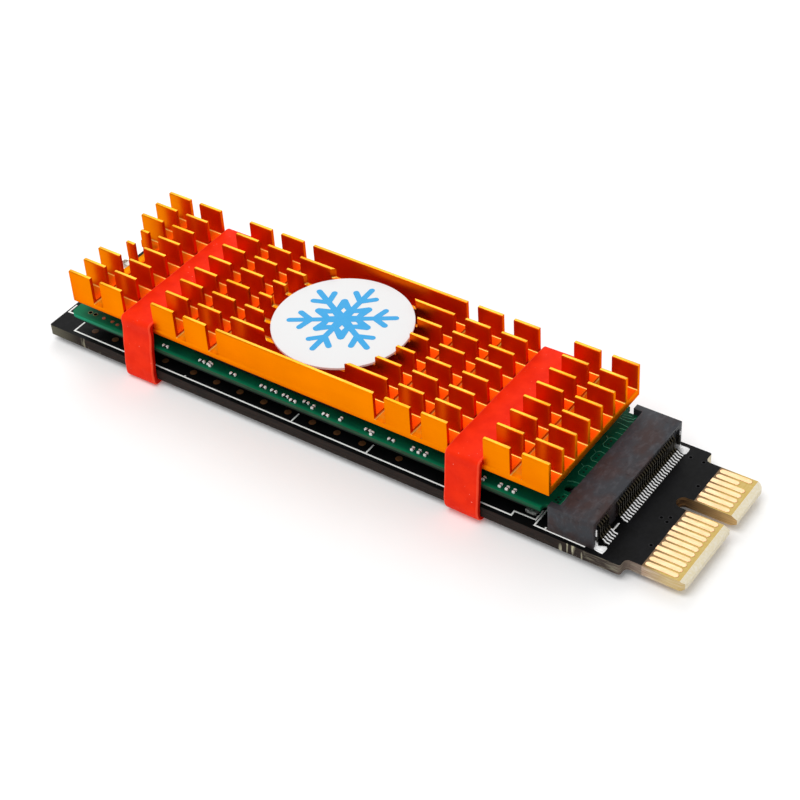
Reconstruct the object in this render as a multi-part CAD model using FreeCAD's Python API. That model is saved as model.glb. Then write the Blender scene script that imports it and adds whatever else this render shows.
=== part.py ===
"""NVMe adapter card: a PCI Express x1 card that carries an M.2 2280 drive
under a cross-cut aluminium heatsink held down by two silicone bands.

Millimetres, +Z up.  X runs along the card, with the gold edge contacts at +X.
The origin is at the middle of the footprint, on the surface the bands rest on.
"""
import FreeCAD, Part
import math
import os

V = FreeCAD.Vector
AXIS_X = V(1, 0, 0)
AXIS_Y = V(0, 1, 0)
AXIS_Z = V(0, 0, 1)

# --- driving dimensions -------------------------------------------------------
# adapter board
BOARD_MARGIN = 0.7             # board beyond each long edge of the drive
BOARD_END_MARGIN = 3.9         # board beyond the screw end of the drive
BOARD_THICKNESS = 1.6
BOARD_CORNER_SHARE = 0.2       # outer corner radius, as a share of the shoulder's width
SHOULDER_TO_TIP = 8.05         # length of the edge connector tongue
TONGUE_FOOT_SHARE = 0.42       # inner corner radius, as a share of the shoulder's width
TONGUE_TIP_RADIUS = 0.8
BEVEL_LENGTH = 0.8             # lead-in on both faces of the tip
BEVEL_DEPTH = 0.45

# card edge contacts, PCI Express x1
PIN_PITCH = 1.0
PINS_BEFORE_KEY = 11
PINS_AFTER_KEY = 7
KEY_STEP = 3.0                 # centre to centre across the key notch
KEY_WIDTH = 1.9
KEY_DEPTH = 7.75
FIRST_PIN_Y = -9.64
PIN_WIDTH = 0.7
PIN_LENGTH = 4.4
PIN_THICKNESS = 0.05
PRESENCE_PIN_CUT = 1.25        # the presence contacts mate last, so they are shorter
PRESENCE_PIN_TOP = 17          # pin numbers, counted from the free end of the tongue
PRESENCE_PIN_BOTTOM = 1
PIN_TO_TONGUE_EDGE = 0.65
PIN_TO_TIP = 1.3

# drive, M.2 2280 with an M key
DRIVE_LENGTH = 80.0
DRIVE_WIDTH = 22.0
DRIVE_THICKNESS = 0.8
DRIVE_CORNER_RADIUS = 1.0
DRIVE_RISE = 2.45              # underside of the drive above the adapter board
DRIVE_TIP_TO_PINS = 14.2       # drive's contact edge to the ends of the card contacts
DRIVE_SHOULDER = 1.075         # each side of the tongue
DRIVE_TONGUE_LENGTH = 4.0
DRIVE_TONGUE_RADIUS = 0.5
DRIVE_KEY_WIDTH = 1.2
DRIVE_KEY_DEPTH = 3.5
SCREW_NOTCH_RADIUS = 1.75
SHORTER_DRIVE_SHARES = (0.375, 0.525, 0.75)   # 30, 42 and 60 mm drives
CONTACT_PITCH = 0.5
CONTACT_TO_TONGUE_EDGE = 0.6   # middle of the outermost contact
KEYED_OUT = 4                  # positions that the M key takes from each row
ODD_PINS_PAST_KEY = 5
EVEN_PINS_PAST_KEY = 4
GOLD_PAD_WIDTH = 0.35
GOLD_PAD_LENGTH = 1.25
GOLD_PAD_SETBACK = 0.25
GOLD_PAD_THICKNESS = 0.03

# chips on the drive
CHIP_HEIGHT = 1.4
CHIP_GAP = 2.0
CONTROLLER_SIDE = 14.0
DRAM_LENGTH, DRAM_WIDTH = 8.0, 12.0
FLASH_LENGTH = 12.0
FLASH_TO_PASSIVES = 0.8
REGULATOR_SIDE = 4.0
REGULATOR_HEIGHT = 0.9
CHIPS_TO_SHOULDER = 3.5
RESISTOR_LENGTH, CAPACITOR_LENGTH = 1.0, 0.66
PASSIVE_WIDTH, PASSIVE_HEIGHT = 0.4, 0.35
PASSIVE_TO_EDGE = 0.85
# places along the drive, as shares of its length
RESISTOR_STATIONS = (0.206, 0.285, 0.351, 0.414, 0.436, 0.46, 0.624, 0.669)
CAPACITOR_STATIONS = (0.304, 0.571, 0.71, 0.7225, 0.735, 0.8425, 0.8725, 0.885, 0.8975)

# M.2 socket
SOCKET_INSERTION = 3.0         # drive's contact edge inside the socket mouth
SOCKET_DEPTH = 6.4
SOCKET_HEIGHT = 4.1
SOCKET_EAR = 0.95              # side walls beyond the slot
SOCKET_ROOF_SETBACK = 1.25     # roof behind the tips of the ears
SLOT_CLEARANCE = 0.1
SLOT_END_CLEARANCE = 0.2
SOCKET_ROOF_SKIN = 0.3         # roof left above the contact grooves
SOCKET_KEY_WIDTH = 1.0
GROOVE_WIDTH = 0.32
ROOF_LIP = 0.35                # roof ahead of the grooves for the upper contacts
GROOVE_DEPTH = 0.6             # comb of grooves down the rear wall
REAR_RECESS = 0.38             # comb set back between the ears, under the roof
REAR_RECESS_DROP = 0.7         # roof's thickness at its rear edge
REAR_RECESS_SIDE = 0.3         # recess wider than the slot, each side
MOUTH_SILL = 0.7               # floor of the slot ahead of the lower grooves
CONTACT_WIDTH = 0.2
CONTACT_STOCK = 0.18
CONTACT_GAP = 0.04             # spring contact to gold pad
CONTACT_HEAD = 0.1             # beam below the top of its groove
CONTACT_TIP = 0.5              # spring tip behind the roof's front
CONTACT_NOSE = 0.25            # tip to the point that touches the pad
CONTACT_RAMP = 1.2             # tip to the level beam
CONTACT_JOG_HEIGHT = 2.6       # height at which the stem steps out of its groove
CONTACT_JOG = 0.32             # how far out it steps, and how far down meanwhile
CONTACT_KNEE = 0.85            # height at which the stem leans out to its foot
CONTACT_LEAN = 0.75
CONTACT_TAIL = 1.2             # solder tail beyond the rear wall
LOWER_TAIL = 0.9               # solder tail ahead of the mouth
LOWER_RISER = 0.9              # riser of the lower contacts, behind the mouth
LOWER_RISE = 0.6               # climb of the arm to the point that touches
LOWER_HOOK = 0.5               # end of the arm past that point
PEG_RADII = (0.8, 0.55)
PEG_LENGTH = 1.3
PEG_CLEARANCE = 0.08
PEG_SETBACK = 0.7              # larger peg behind the slot's end
PEG_INSET = 0.4                # pegs inward of the ears
LOCK_THICKNESS = 0.2
LOCK_HEIGHT = 2.3
LOCK_FOOT = 1.15
LOCK_INSET = 0.2               # inner face of the lock, outward of the slot
LOCK_FOOT_TO_SIDE = 0.1        # foot short of the socket's side
LOCK_REACH = 0.2               # blade beyond the rear wall

# heatsink
HEATSINK_HEIGHT = 5.0
HEATSINK_TO_DRIVE_END = 1.25
HEATSINK_TO_DRIVE_TIP = 2.75
BASE_THICKNESS = 1.15          # floor between the fins
CROSS_CUT_FLOOR = 0.8          # metal left under the cross cuts
FIN_THICKNESS = 0.55
FIN_ROWS = 8
SHORT_FIN_SHARE = 0.05         # length of a short fin, as a share of the heatsink's
CROSS_CUT = 1.7
BAND_CHANNEL = 5.2
POCKET_TO_EDGE = 0.85          # round pocket to the long edges of the heatsink
POCKET_DEPTH = 1.4
POCKET_OFFSET = -0.35
SCREW_RELIEF = 0.95            # heatsink clear of the screw head, along the card
SCREW_RELIEF_SIDE = 0.7
RELIEF_CORNER_RADIUS = 0.8
PAD_THICKNESS = 1.15
PAD_INSET = 1.5

# label
LABEL_CLEARANCE = 0.65         # label to the wall of its pocket
LABEL_THICKNESS = 0.35
PRINT_THICKNESS = 0.03
FLAKE_REACH = 7.6              # tips of the six arms
FLAKE_STROKE = 0.6
FLAKE_TURN = 32.0              # degrees, first arm from +X
FLAKE_LOBE_RADIUS = 4.2
FLAKE_WAIST = 2.2              # star's radius between its lobes
FLAKE_FORK = (4.5, 5.9, 1.6)   # branches: root, reach and side step
FLAKE_HOLE_RADIUS = 1.85
FLAKE_HOLE_LENGTH, FLAKE_HOLE_WIDTH = 1.1, 0.7

# bands, screw and standoff
BAND_THICKNESS = 1.0
BAND_SIDE_CLEARANCE = 0.1
STANDOFF_RADIUS = 2.75
STANDOFF_BOSS_RADIUS = 1.85
STANDOFF_BOSS_LENGTH = 1.3
STANDOFF_HOLE_CLEARANCE = 0.05
SCREW_RADIUS = 1.45
SCREW_BORE_CLEARANCE = 0.05
SCREW_LENGTH = 3.0
SCREW_HEAD_RADIUS = 2.7
SCREW_HEAD_HEIGHT = 1.2
SCREW_RECESS_LENGTH, SCREW_RECESS_WIDTH, SCREW_RECESS_DEPTH = 2.6, 0.6, 0.7

# decoupling capacitor on the adapter board, beside the socket
DECOUPLER_LENGTH, DECOUPLER_WIDTH, DECOUPLER_HEIGHT = 1.6, 0.8, 0.5
DECOUPLER_TO_SOCKET = 2.5
DECOUPLER_TO_BOARD_EDGE = 2.1

# --- derived places -----------------------------------------------------------
BOARD_WIDTH = DRIVE_WIDTH + 2 * BOARD_MARGIN
BOARD_LENGTH = BOARD_END_MARGIN + DRIVE_LENGTH + DRIVE_TIP_TO_PINS + PIN_TO_TIP
BOARD_Z = BAND_THICKNESS
BOARD_TOP = BOARD_Z + BOARD_THICKNESS
TIP_X = BOARD_LENGTH / 2
SHOULDER_X = TIP_X - SHOULDER_TO_TIP
PIN_END_X = TIP_X - PIN_TO_TIP

DRIVE_TIP_X = PIN_END_X - DRIVE_TIP_TO_PINS
DRIVE_END_X = DRIVE_TIP_X - DRIVE_LENGTH
DRIVE_SHOULDER_X = DRIVE_TIP_X - DRIVE_TONGUE_LENGTH
DRIVE_TONGUE_WIDTH = DRIVE_WIDTH - 2 * DRIVE_SHOULDER
DRIVE_Z = BOARD_TOP + DRIVE_RISE
DRIVE_TOP = DRIVE_Z + DRIVE_THICKNESS

SOCKET_FRONT_X = DRIVE_TIP_X - SOCKET_INSERTION
SOCKET_REAR_X = SOCKET_FRONT_X + SOCKET_DEPTH
SOCKET_WIDTH = DRIVE_TONGUE_WIDTH + 2 * (SLOT_CLEARANCE + SOCKET_EAR)
SOCKET_TOP = BOARD_TOP + SOCKET_HEIGHT
SLOT_END_X = DRIVE_TIP_X + SLOT_END_CLEARANCE
GROOVE_TOP = SOCKET_TOP - SOCKET_ROOF_SKIN

FLASH_WIDTH = DRIVE_WIDTH - 2 * (PASSIVE_TO_EDGE + CAPACITOR_LENGTH / 2 + FLASH_TO_PASSIVES)
CHIP_TOP = DRIVE_TOP + CHIP_HEIGHT
HEATSINK_Z = CHIP_TOP + PAD_THICKNESS
HEATSINK_TOP = HEATSINK_Z + HEATSINK_HEIGHT
HEATSINK_X = DRIVE_END_X + HEATSINK_TO_DRIVE_END
HEATSINK_LENGTH = DRIVE_LENGTH - HEATSINK_TO_DRIVE_END - HEATSINK_TO_DRIVE_TIP
HEATSINK_MID_X = HEATSINK_X + HEATSINK_LENGTH / 2
SHORT_FIN = SHORT_FIN_SHARE * HEATSINK_LENGTH
POCKET_RADIUS = DRIVE_WIDTH / 2 - POCKET_TO_EDGE
POCKET_Z = HEATSINK_TOP - POCKET_DEPTH
CHANNEL_Z = HEATSINK_Z + CROSS_CUT_FLOOR


# --- helpers ------------------------------------------------------------------
def box(x0, x1, y0, y1, z0, z1):
    """A block between two corners."""
    return Part.makeBox(x1 - x0, y1 - y0, z1 - z0, V(x0, y0, z0))


def rod(radius, z0, z1, x=0.0, y=0.0):
    """An upright cylinder."""
    return Part.makeCylinder(radius, z1 - z0, V(x, y, z0))


def plate(points, z0, z1):
    """A polygon in plan, given a thickness."""
    face = Part.Face(Part.makePolygon([V(x, y, z0) for x, y in points + points[:1]]))
    return face.extrude(AXIS_Z * (z1 - z0))


def strip(points, y, width):
    """A side profile of (x, z) points, extruded to a width centred on y."""
    start = y - width / 2
    face = Part.Face(Part.makePolygon([V(x, start, z) for x, z in points + points[:1]]))
    return face.extrude(AXIS_Y * width)


def round_uprights(shape, corners, radius):
    """Fillet the upright edges that stand at the given plan points."""
    picked = []
    for edge in shape.Edges:
        ends = [vertex.Point for vertex in edge.Vertexes]
        if len(ends) != 2 or (ends[0] - ends[1]).cross(AXIS_Z).Length > 1e-6:
            continue
        if any(math.hypot(ends[0].x - x, ends[0].y - y) < 1e-4 for x, y in corners):
            picked.append(edge)
    return shape.makeFillet(radius, picked)


def contact_row(count, past_key):
    """Places across the socket of one row, and the middle of the key's gap in it."""
    first = -(count - 1) * CONTACT_PITCH / 2
    missing = [past_key + i for i in range(KEYED_OUT)]
    middle = first + (past_key + (KEYED_OUT - 1) / 2) * CONTACT_PITCH
    return [first + i * CONTACT_PITCH for i in range(count) if i not in missing], middle


ODD_POSITIONS = 1 + round((DRIVE_TONGUE_WIDTH - 2 * CONTACT_TO_TONGUE_EDGE) // CONTACT_PITCH)
ODD_ROW, ODD_GAP_Y = contact_row(ODD_POSITIONS, ODD_PINS_PAST_KEY)
EVEN_ROW, EVEN_GAP_Y = contact_row(ODD_POSITIONS - 1, EVEN_PINS_PAST_KEY)
DRIVE_KEY_Y = (ODD_GAP_Y + EVEN_GAP_Y) / 2


def card_pin_places():
    """Places across the tongue of the card edge contacts, first pin first."""
    before = [FIRST_PIN_Y + i * PIN_PITCH for i in range(PINS_BEFORE_KEY)]
    after = [before[-1] + KEY_STEP + i * PIN_PITCH for i in range(PINS_AFTER_KEY)]
    return before + after


CARD_PINS = card_pin_places()
KEY_Y = CARD_PINS[PINS_BEFORE_KEY - 1] + KEY_STEP / 2


def cross_cut_spans():
    """X spans of the cuts that cross the fins: (start, end, holds a band)."""
    lengths = [SHORT_FIN, CROSS_CUT, SHORT_FIN, BAND_CHANNEL, SHORT_FIN, CROSS_CUT,
               SHORT_FIN, CROSS_CUT]
    centre_fin = HEATSINK_LENGTH - 2 * sum(lengths)
    spans, x = [], HEATSINK_X
    for i, length in enumerate(lengths + [centre_fin] + lengths[::-1]):
        if i % 2:
            spans.append((x, x + length, i in (3, 13)))
        x += length
    return spans


def band_centres():
    """Middle of each channel that a band lies in."""
    return [(x0 + x1) / 2 for x0, x1, holds_band in cross_cut_spans() if holds_band]


def peg_places():
    """Plan places and radii of the socket's locating pegs."""
    x = SLOT_END_X + PEG_RADII[0] + PEG_SETBACK
    side = SOCKET_WIDTH / 2 - SOCKET_EAR - PEG_INSET
    return [(x, -side, PEG_RADII[0]), (x, side, PEG_RADII[1])]


# --- adapter board ------------------------------------------------------------
def bevel_cut(face_z, direction):
    """Wedge that a lead-in takes off one face of the tongue's tip."""
    beyond = 1.0
    slope = BEVEL_DEPTH / BEVEL_LENGTH
    points = [(TIP_X - BEVEL_LENGTH, face_z),
              (TIP_X + beyond, face_z - direction * slope * (BEVEL_LENGTH + beyond)),
              (TIP_X + beyond, face_z)]
    return strip(points, 0.0, BOARD_WIDTH)


def make_adapter_board():
    """Black board with the bevelled, keyed edge tongue and its mounting holes."""
    half = BOARD_WIDTH / 2
    y0 = CARD_PINS[0] - PIN_TO_TONGUE_EDGE
    y1 = CARD_PINS[-1] + PIN_TO_TONGUE_EDGE
    board = plate([(-BOARD_LENGTH / 2, -half), (SHOULDER_X, -half), (SHOULDER_X, y0),
                   (TIP_X, y0), (TIP_X, y1), (SHOULDER_X, y1), (SHOULDER_X, half),
                   (-BOARD_LENGTH / 2, half)], BOARD_Z, BOARD_TOP)
    shoulder = half - max(-y0, y1)
    board = round_uprights(board, [(SHOULDER_X, y0), (SHOULDER_X, y1)],
                           TONGUE_FOOT_SHARE * shoulder)
    board = round_uprights(board, [(TIP_X, y0), (TIP_X, y1)], TONGUE_TIP_RADIUS)
    board = round_uprights(board, [(x, y) for x in (-BOARD_LENGTH / 2, SHOULDER_X)
                                   for y in (-half, half)], BOARD_CORNER_SHARE * shoulder)
    key_end = TIP_X - KEY_DEPTH + KEY_WIDTH / 2
    key = box(key_end, TIP_X + 1, KEY_Y - KEY_WIDTH / 2, KEY_Y + KEY_WIDTH / 2,
              BOARD_Z, BOARD_TOP)
    cuts = [key, rod(KEY_WIDTH / 2, BOARD_Z, BOARD_TOP, key_end, KEY_Y),
            bevel_cut(BOARD_TOP, 1), bevel_cut(BOARD_Z, -1)]
    for share in SHORTER_DRIVE_SHARES + (1.0,):
        cuts.append(rod(STANDOFF_BOSS_RADIUS + STANDOFF_HOLE_CLEARANCE, BOARD_Z, BOARD_TOP,
                        DRIVE_TIP_X - share * DRIVE_LENGTH))
    for x, y, radius in peg_places():
        cuts.append(rod(radius + PEG_CLEARANCE, BOARD_Z, BOARD_TOP, x, y))
    return board.cut(cuts)


def card_pin(y, z0, shortened):
    """One gold contact with rounded ends, each turned in four flats."""
    x1 = PIN_END_X - (PRESENCE_PIN_CUT if shortened else 0.0)
    x0 = PIN_END_X - PIN_LENGTH
    r = PIN_WIDTH / 2
    points = []
    for x, facing in ((x1 - r, 0), (x0 + r, 180)):
        for turn in (-90, -45, 0, 45, 90):
            angle = math.radians(facing + turn)
            points.append((x + r * math.cos(angle), y + r * math.sin(angle)))
    return plate(points, z0, z0 + PIN_THICKNESS)


def make_edge_contacts(z0, presence_pin):
    """The contacts of one face of the tongue."""
    return Part.makeCompound([card_pin(y, z0, number == presence_pin)
                              for number, y in enumerate(CARD_PINS, 1)])


def make_board_decoupler():
    """Ceramic capacitor beside the socket, partly under the drive."""
    x1 = SOCKET_FRONT_X - DECOUPLER_TO_SOCKET
    y0 = -BOARD_WIDTH / 2 + DECOUPLER_TO_BOARD_EDGE
    return box(x1 - DECOUPLER_LENGTH, x1, y0, y0 + DECOUPLER_WIDTH,
               BOARD_TOP, BOARD_TOP + DECOUPLER_HEIGHT)


# --- socket -------------------------------------------------------------------
def upper_contact(y):
    """Spring contact of the odd row: beam over the drive, stem, and solder tail."""
    t = CONTACT_STOCK
    beam_top = GROOVE_TOP - CONTACT_HEAD
    tip_x = SOCKET_FRONT_X + SOCKET_ROOF_SETBACK + CONTACT_TIP
    touch_x = tip_x + CONTACT_NOSE
    touch_z = DRIVE_TOP + GOLD_PAD_THICKNESS + CONTACT_GAP
    beam_x = tip_x + CONTACT_RAMP
    stem_x = SOCKET_REAR_X - GROOVE_DEPTH + CONTACT_HEAD
    out_x = stem_x + CONTACT_JOG
    foot_x = out_x + CONTACT_LEAN
    tail_x = SOCKET_REAR_X + CONTACT_TAIL
    jog_z, knee_z = BOARD_TOP + CONTACT_JOG_HEIGHT, BOARD_TOP + CONTACT_KNEE
    step_z = jog_z - CONTACT_JOG
    points = [(tip_x, touch_z + t), (touch_x, touch_z), (touch_x + 2 * CONTACT_NOSE, touch_z + t),
              (beam_x, beam_top - t), (stem_x, beam_top - t), (stem_x, jog_z),
              (out_x, step_z), (out_x, knee_z), (foot_x, BOARD_TOP), (tail_x, BOARD_TOP),
              (tail_x, BOARD_TOP + t), (foot_x + t / 2, BOARD_TOP + t),
              (out_x + t, knee_z + t / 2), (out_x + t, step_z + t / 2),
              (stem_x + t, jog_z + t / 2), (stem_x + t, beam_top),
              (beam_x - t, beam_top), (touch_x + CONTACT_NOSE, touch_z + 2 * t)]
    return strip(points, y, CONTACT_WIDTH)


def lower_contact(y):
    """Spring contact of the even row: tail ahead of the mouth, riser, and arm."""
    t = CONTACT_STOCK
    touch_z = DRIVE_Z - GOLD_PAD_THICKNESS - CONTACT_GAP
    elbow_z = touch_z - LOWER_RISE
    riser_x = SOCKET_FRONT_X + LOWER_RISER
    tail_x = SOCKET_FRONT_X - LOWER_TAIL
    touch_x = DRIVE_TIP_X - GOLD_PAD_SETBACK - GOLD_PAD_LENGTH / 2
    hook_x = touch_x + LOWER_HOOK
    points = [(tail_x, BOARD_TOP), (riser_x + t, BOARD_TOP), (riser_x + t, elbow_z - t),
              (touch_x, touch_z - t), (hook_x - t / 2, touch_z - 2 * t),
              (hook_x, touch_z - t), (touch_x, touch_z), (riser_x, elbow_z),
              (riser_x, BOARD_TOP + t), (tail_x, BOARD_TOP + t)]
    return strip(points, y, CONTACT_WIDTH)


def socket_grooves():
    """Grooves that the two rows of contacts stand in."""
    slot_floor = DRIVE_Z - SLOT_CLEARANCE
    grooves = []
    for y in ODD_ROW:
        y0, y1 = y - GROOVE_WIDTH / 2, y + GROOVE_WIDTH / 2
        grooves.append(box(SOCKET_REAR_X - GROOVE_DEPTH, SOCKET_REAR_X, y0, y1,
                           BOARD_TOP, GROOVE_TOP))
        grooves.append(box(SOCKET_FRONT_X + SOCKET_ROOF_SETBACK + ROOF_LIP, SOCKET_REAR_X,
                           y0, y1, DRIVE_TOP, GROOVE_TOP))
    for y in EVEN_ROW:
        y0, y1 = y - GROOVE_WIDTH / 2, y + GROOVE_WIDTH / 2
        grooves.append(box(SOCKET_FRONT_X + MOUTH_SILL, DRIVE_TIP_X - GOLD_PAD_SETBACK, y0, y1,
                           BOARD_TOP, slot_floor))
        grooves.append(box(SOCKET_FRONT_X, SOCKET_FRONT_X + MOUTH_SILL, y0, y1,
                           BOARD_TOP, BOARD_TOP + 2 * CONTACT_STOCK))
    return grooves


def make_socket_housing():
    """Moulded housing: slot with its key rib, ears, contact comb and locating pegs."""
    half = SOCKET_WIDTH / 2
    slot_half = DRIVE_TONGUE_WIDTH / 2 + SLOT_CLEARANCE
    slot_floor = DRIVE_Z - SLOT_CLEARANCE
    slot_roof = DRIVE_TOP + SLOT_CLEARANCE
    body = box(SOCKET_FRONT_X, SOCKET_REAR_X, -half, half, BOARD_TOP, SOCKET_TOP)
    mouth = box(SOCKET_FRONT_X, SOCKET_FRONT_X + SOCKET_ROOF_SETBACK, -slot_half, slot_half,
                slot_floor, SOCKET_TOP)
    slot = box(SOCKET_FRONT_X, SLOT_END_X, -slot_half, slot_half, slot_floor, slot_roof)
    recess_half = slot_half + REAR_RECESS_SIDE
    recess = box(SOCKET_REAR_X - REAR_RECESS, SOCKET_REAR_X, -recess_half, recess_half,
                 BOARD_TOP, SOCKET_TOP - REAR_RECESS_DROP)
    body = body.cut([mouth, slot, recess] + socket_grooves() + lock_slots())
    key_rib = box(DRIVE_TIP_X - DRIVE_KEY_DEPTH + DRIVE_KEY_WIDTH, SLOT_END_X,
                  DRIVE_KEY_Y - SOCKET_KEY_WIDTH / 2, DRIVE_KEY_Y + SOCKET_KEY_WIDTH / 2,
                  slot_floor, slot_roof)
    pegs = [rod(radius, BOARD_TOP - PEG_LENGTH, BOARD_TOP, x, y)
            for x, y, radius in peg_places()]
    return body.fuse([key_rib] + pegs).removeSplitter()


def lock_side():
    """Distance from the centre line to the inner face of a board lock."""
    return SOCKET_WIDTH / 2 - SOCKET_EAR + LOCK_INSET


def lock_slots():
    """Slots in the rear corners of the housing for the board locks."""
    slots = []
    for side in (-1, 1):
        near, far = sorted((side * lock_side(), side * (lock_side() + LOCK_THICKNESS)))
        slots.append(box(SOCKET_REAR_X - GROOVE_DEPTH, SOCKET_REAR_X, near, far,
                         BOARD_TOP, BOARD_TOP + LOCK_HEIGHT))
    return slots


def board_lock(side):
    """Bent metal lock: an upright blade in the housing and a foot soldered down."""
    near, far = sorted((side * lock_side(), side * (lock_side() + LOCK_THICKNESS)))
    blade = box(SOCKET_REAR_X - GROOVE_DEPTH, SOCKET_REAR_X + LOCK_REACH, near, far,
                BOARD_TOP, BOARD_TOP + LOCK_HEIGHT)
    near, far = sorted((side * lock_side(), side * (SOCKET_WIDTH / 2 - LOCK_FOOT_TO_SIDE)))
    foot = box(SOCKET_REAR_X, SOCKET_REAR_X + LOCK_FOOT, near, far,
               BOARD_TOP, BOARD_TOP + LOCK_THICKNESS)
    return blade.fuse(foot).removeSplitter()


# --- drive --------------------------------------------------------------------
def make_drive_board():
    """Green drive board with its keyed tongue and the half-round screw notch."""
    half, tongue = DRIVE_WIDTH / 2, DRIVE_TONGUE_WIDTH / 2
    board = plate([(DRIVE_END_X, -half), (DRIVE_SHOULDER_X, -half),
                   (DRIVE_SHOULDER_X, -tongue), (DRIVE_TIP_X, -tongue),
                   (DRIVE_TIP_X, tongue), (DRIVE_SHOULDER_X, tongue),
                   (DRIVE_SHOULDER_X, half), (DRIVE_END_X, half)], DRIVE_Z, DRIVE_TOP)
    board = round_uprights(board, [(DRIVE_END_X, -half), (DRIVE_END_X, half)],
                           DRIVE_CORNER_RADIUS)
    board = round_uprights(board, [(DRIVE_SHOULDER_X, -tongue), (DRIVE_SHOULDER_X, tongue)],
                           DRIVE_TONGUE_RADIUS)
    key_end = DRIVE_TIP_X - DRIVE_KEY_DEPTH + DRIVE_KEY_WIDTH / 2
    key = box(key_end, DRIVE_TIP_X, DRIVE_KEY_Y - DRIVE_KEY_WIDTH / 2,
              DRIVE_KEY_Y + DRIVE_KEY_WIDTH / 2, DRIVE_Z, DRIVE_TOP)
    return board.cut([key, rod(DRIVE_KEY_WIDTH / 2, DRIVE_Z, DRIVE_TOP, key_end, DRIVE_KEY_Y),
                      rod(SCREW_NOTCH_RADIUS, DRIVE_Z, DRIVE_TOP, DRIVE_END_X)])


def make_gold_pads(row, z0):
    """Gold pads on one face of the drive's tongue."""
    x1 = DRIVE_TIP_X - GOLD_PAD_SETBACK
    return Part.makeCompound([
        box(x1 - GOLD_PAD_LENGTH, x1, y - GOLD_PAD_WIDTH / 2, y + GOLD_PAD_WIDTH / 2,
            z0, z0 + GOLD_PAD_THICKNESS) for y in row])


def chip(x1, length, width, height, y=0.0):
    """A flat package whose end nearest the socket is at x1."""
    return box(x1 - length, x1, y - width / 2, y + width / 2, DRIVE_TOP, DRIVE_TOP + height)


def chip_ends():
    """Socket-side ends of the chips, laid one after another from the socket."""
    ends = {"controller": DRIVE_SHOULDER_X - CHIPS_TO_SHOULDER}
    ends["dram"] = ends["controller"] - CONTROLLER_SIDE - CHIP_GAP
    ends["flash"] = ends["dram"] - DRAM_LENGTH - CHIP_GAP
    ends["flash_2"] = ends["flash"] - FLASH_LENGTH - CHIP_GAP
    ends["regulator"] = ends["flash_2"] - FLASH_LENGTH - CHIP_GAP
    return ends


def make_passives(stations, along):
    """Ceramic parts in a line beside the drive's near edge, either way round."""
    dx = RESISTOR_LENGTH if along else PASSIVE_WIDTH
    dy = PASSIVE_WIDTH if along else CAPACITOR_LENGTH
    y = -DRIVE_WIDTH / 2 + PASSIVE_TO_EDGE
    return Part.makeCompound([
        box(x - dx / 2, x + dx / 2, y - dy / 2, y + dy / 2,
            DRIVE_TOP, DRIVE_TOP + PASSIVE_HEIGHT)
        for x in (DRIVE_END_X + share * DRIVE_LENGTH for share in stations)])


def make_thermal_pad():
    """Soft pad between the chips and the heatsink."""
    x0 = HEATSINK_X + SCREW_HEAD_RADIUS + PAD_INSET
    x1 = chip_ends()["controller"]
    half = FLASH_WIDTH / 2
    return box(x0, x1, -half, half, CHIP_TOP, HEATSINK_Z)


# --- heatsink -----------------------------------------------------------------
def screw_relief():
    """Bite out of the heatsink's end that leaves room for the screw head."""
    half = SCREW_HEAD_RADIUS + SCREW_RELIEF_SIDE
    depth_x = DRIVE_END_X + SCREW_HEAD_RADIUS + SCREW_RELIEF
    bite = box(HEATSINK_X - 1, depth_x, -half, half, HEATSINK_Z, HEATSINK_TOP)
    return round_uprights(bite, [(depth_x, -half), (depth_x, half)], RELIEF_CORNER_RADIUS)


def make_heatsink():
    """Extruded fins cut across into pins, with a round pocket for the label."""
    half = DRIVE_WIDTH / 2
    x1 = HEATSINK_X + HEATSINK_LENGTH
    pitch = (DRIVE_WIDTH - FIN_THICKNESS) / (FIN_ROWS - 1)
    body = box(HEATSINK_X, x1, -half, half, HEATSINK_Z, HEATSINK_Z + BASE_THICKNESS)
    fins = [box(HEATSINK_X, x1, -half + i * pitch, -half + i * pitch + FIN_THICKNESS,
                HEATSINK_Z, HEATSINK_TOP) for i in range(FIN_ROWS)]
    cuts = [box(a, b, -half, half, CHANNEL_Z, HEATSINK_TOP) for a, b, _ in cross_cut_spans()]
    pocket = rod(POCKET_RADIUS, POCKET_Z, HEATSINK_TOP, HEATSINK_MID_X + POCKET_OFFSET)
    return body.fuse(fins).cut(cuts + [pocket, screw_relief()]).removeSplitter()


def make_label_disc():
    """Round label that lies on the fins inside the pocket."""
    return rod(POCKET_RADIUS - LABEL_CLEARANCE, POCKET_Z, POCKET_Z + LABEL_THICKNESS,
               HEATSINK_MID_X)


def turned(points, degrees):
    """Plan points turned about the middle of the label, and moved to it."""
    angle = math.radians(degrees)
    c, s = math.cos(angle), math.sin(angle)
    return [(HEATSINK_MID_X + x * c - y * s, x * s + y * c) for x, y in points]


def stroke_points(start, end):
    """Outline of a straight stroke with a pointed far end."""
    (ax, ay), (bx, by) = start, end
    length = math.hypot(bx - ax, by - ay)
    ux, uy = (bx - ax) / length, (by - ay) / length
    half = FLAKE_STROKE / 2
    along = ((0, half), (0, -half), (length - half, -half), (length, 0), (length - half, half))
    return [(ax + u * ux - v * uy, ay + u * uy + v * ux) for u, v in along]


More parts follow.
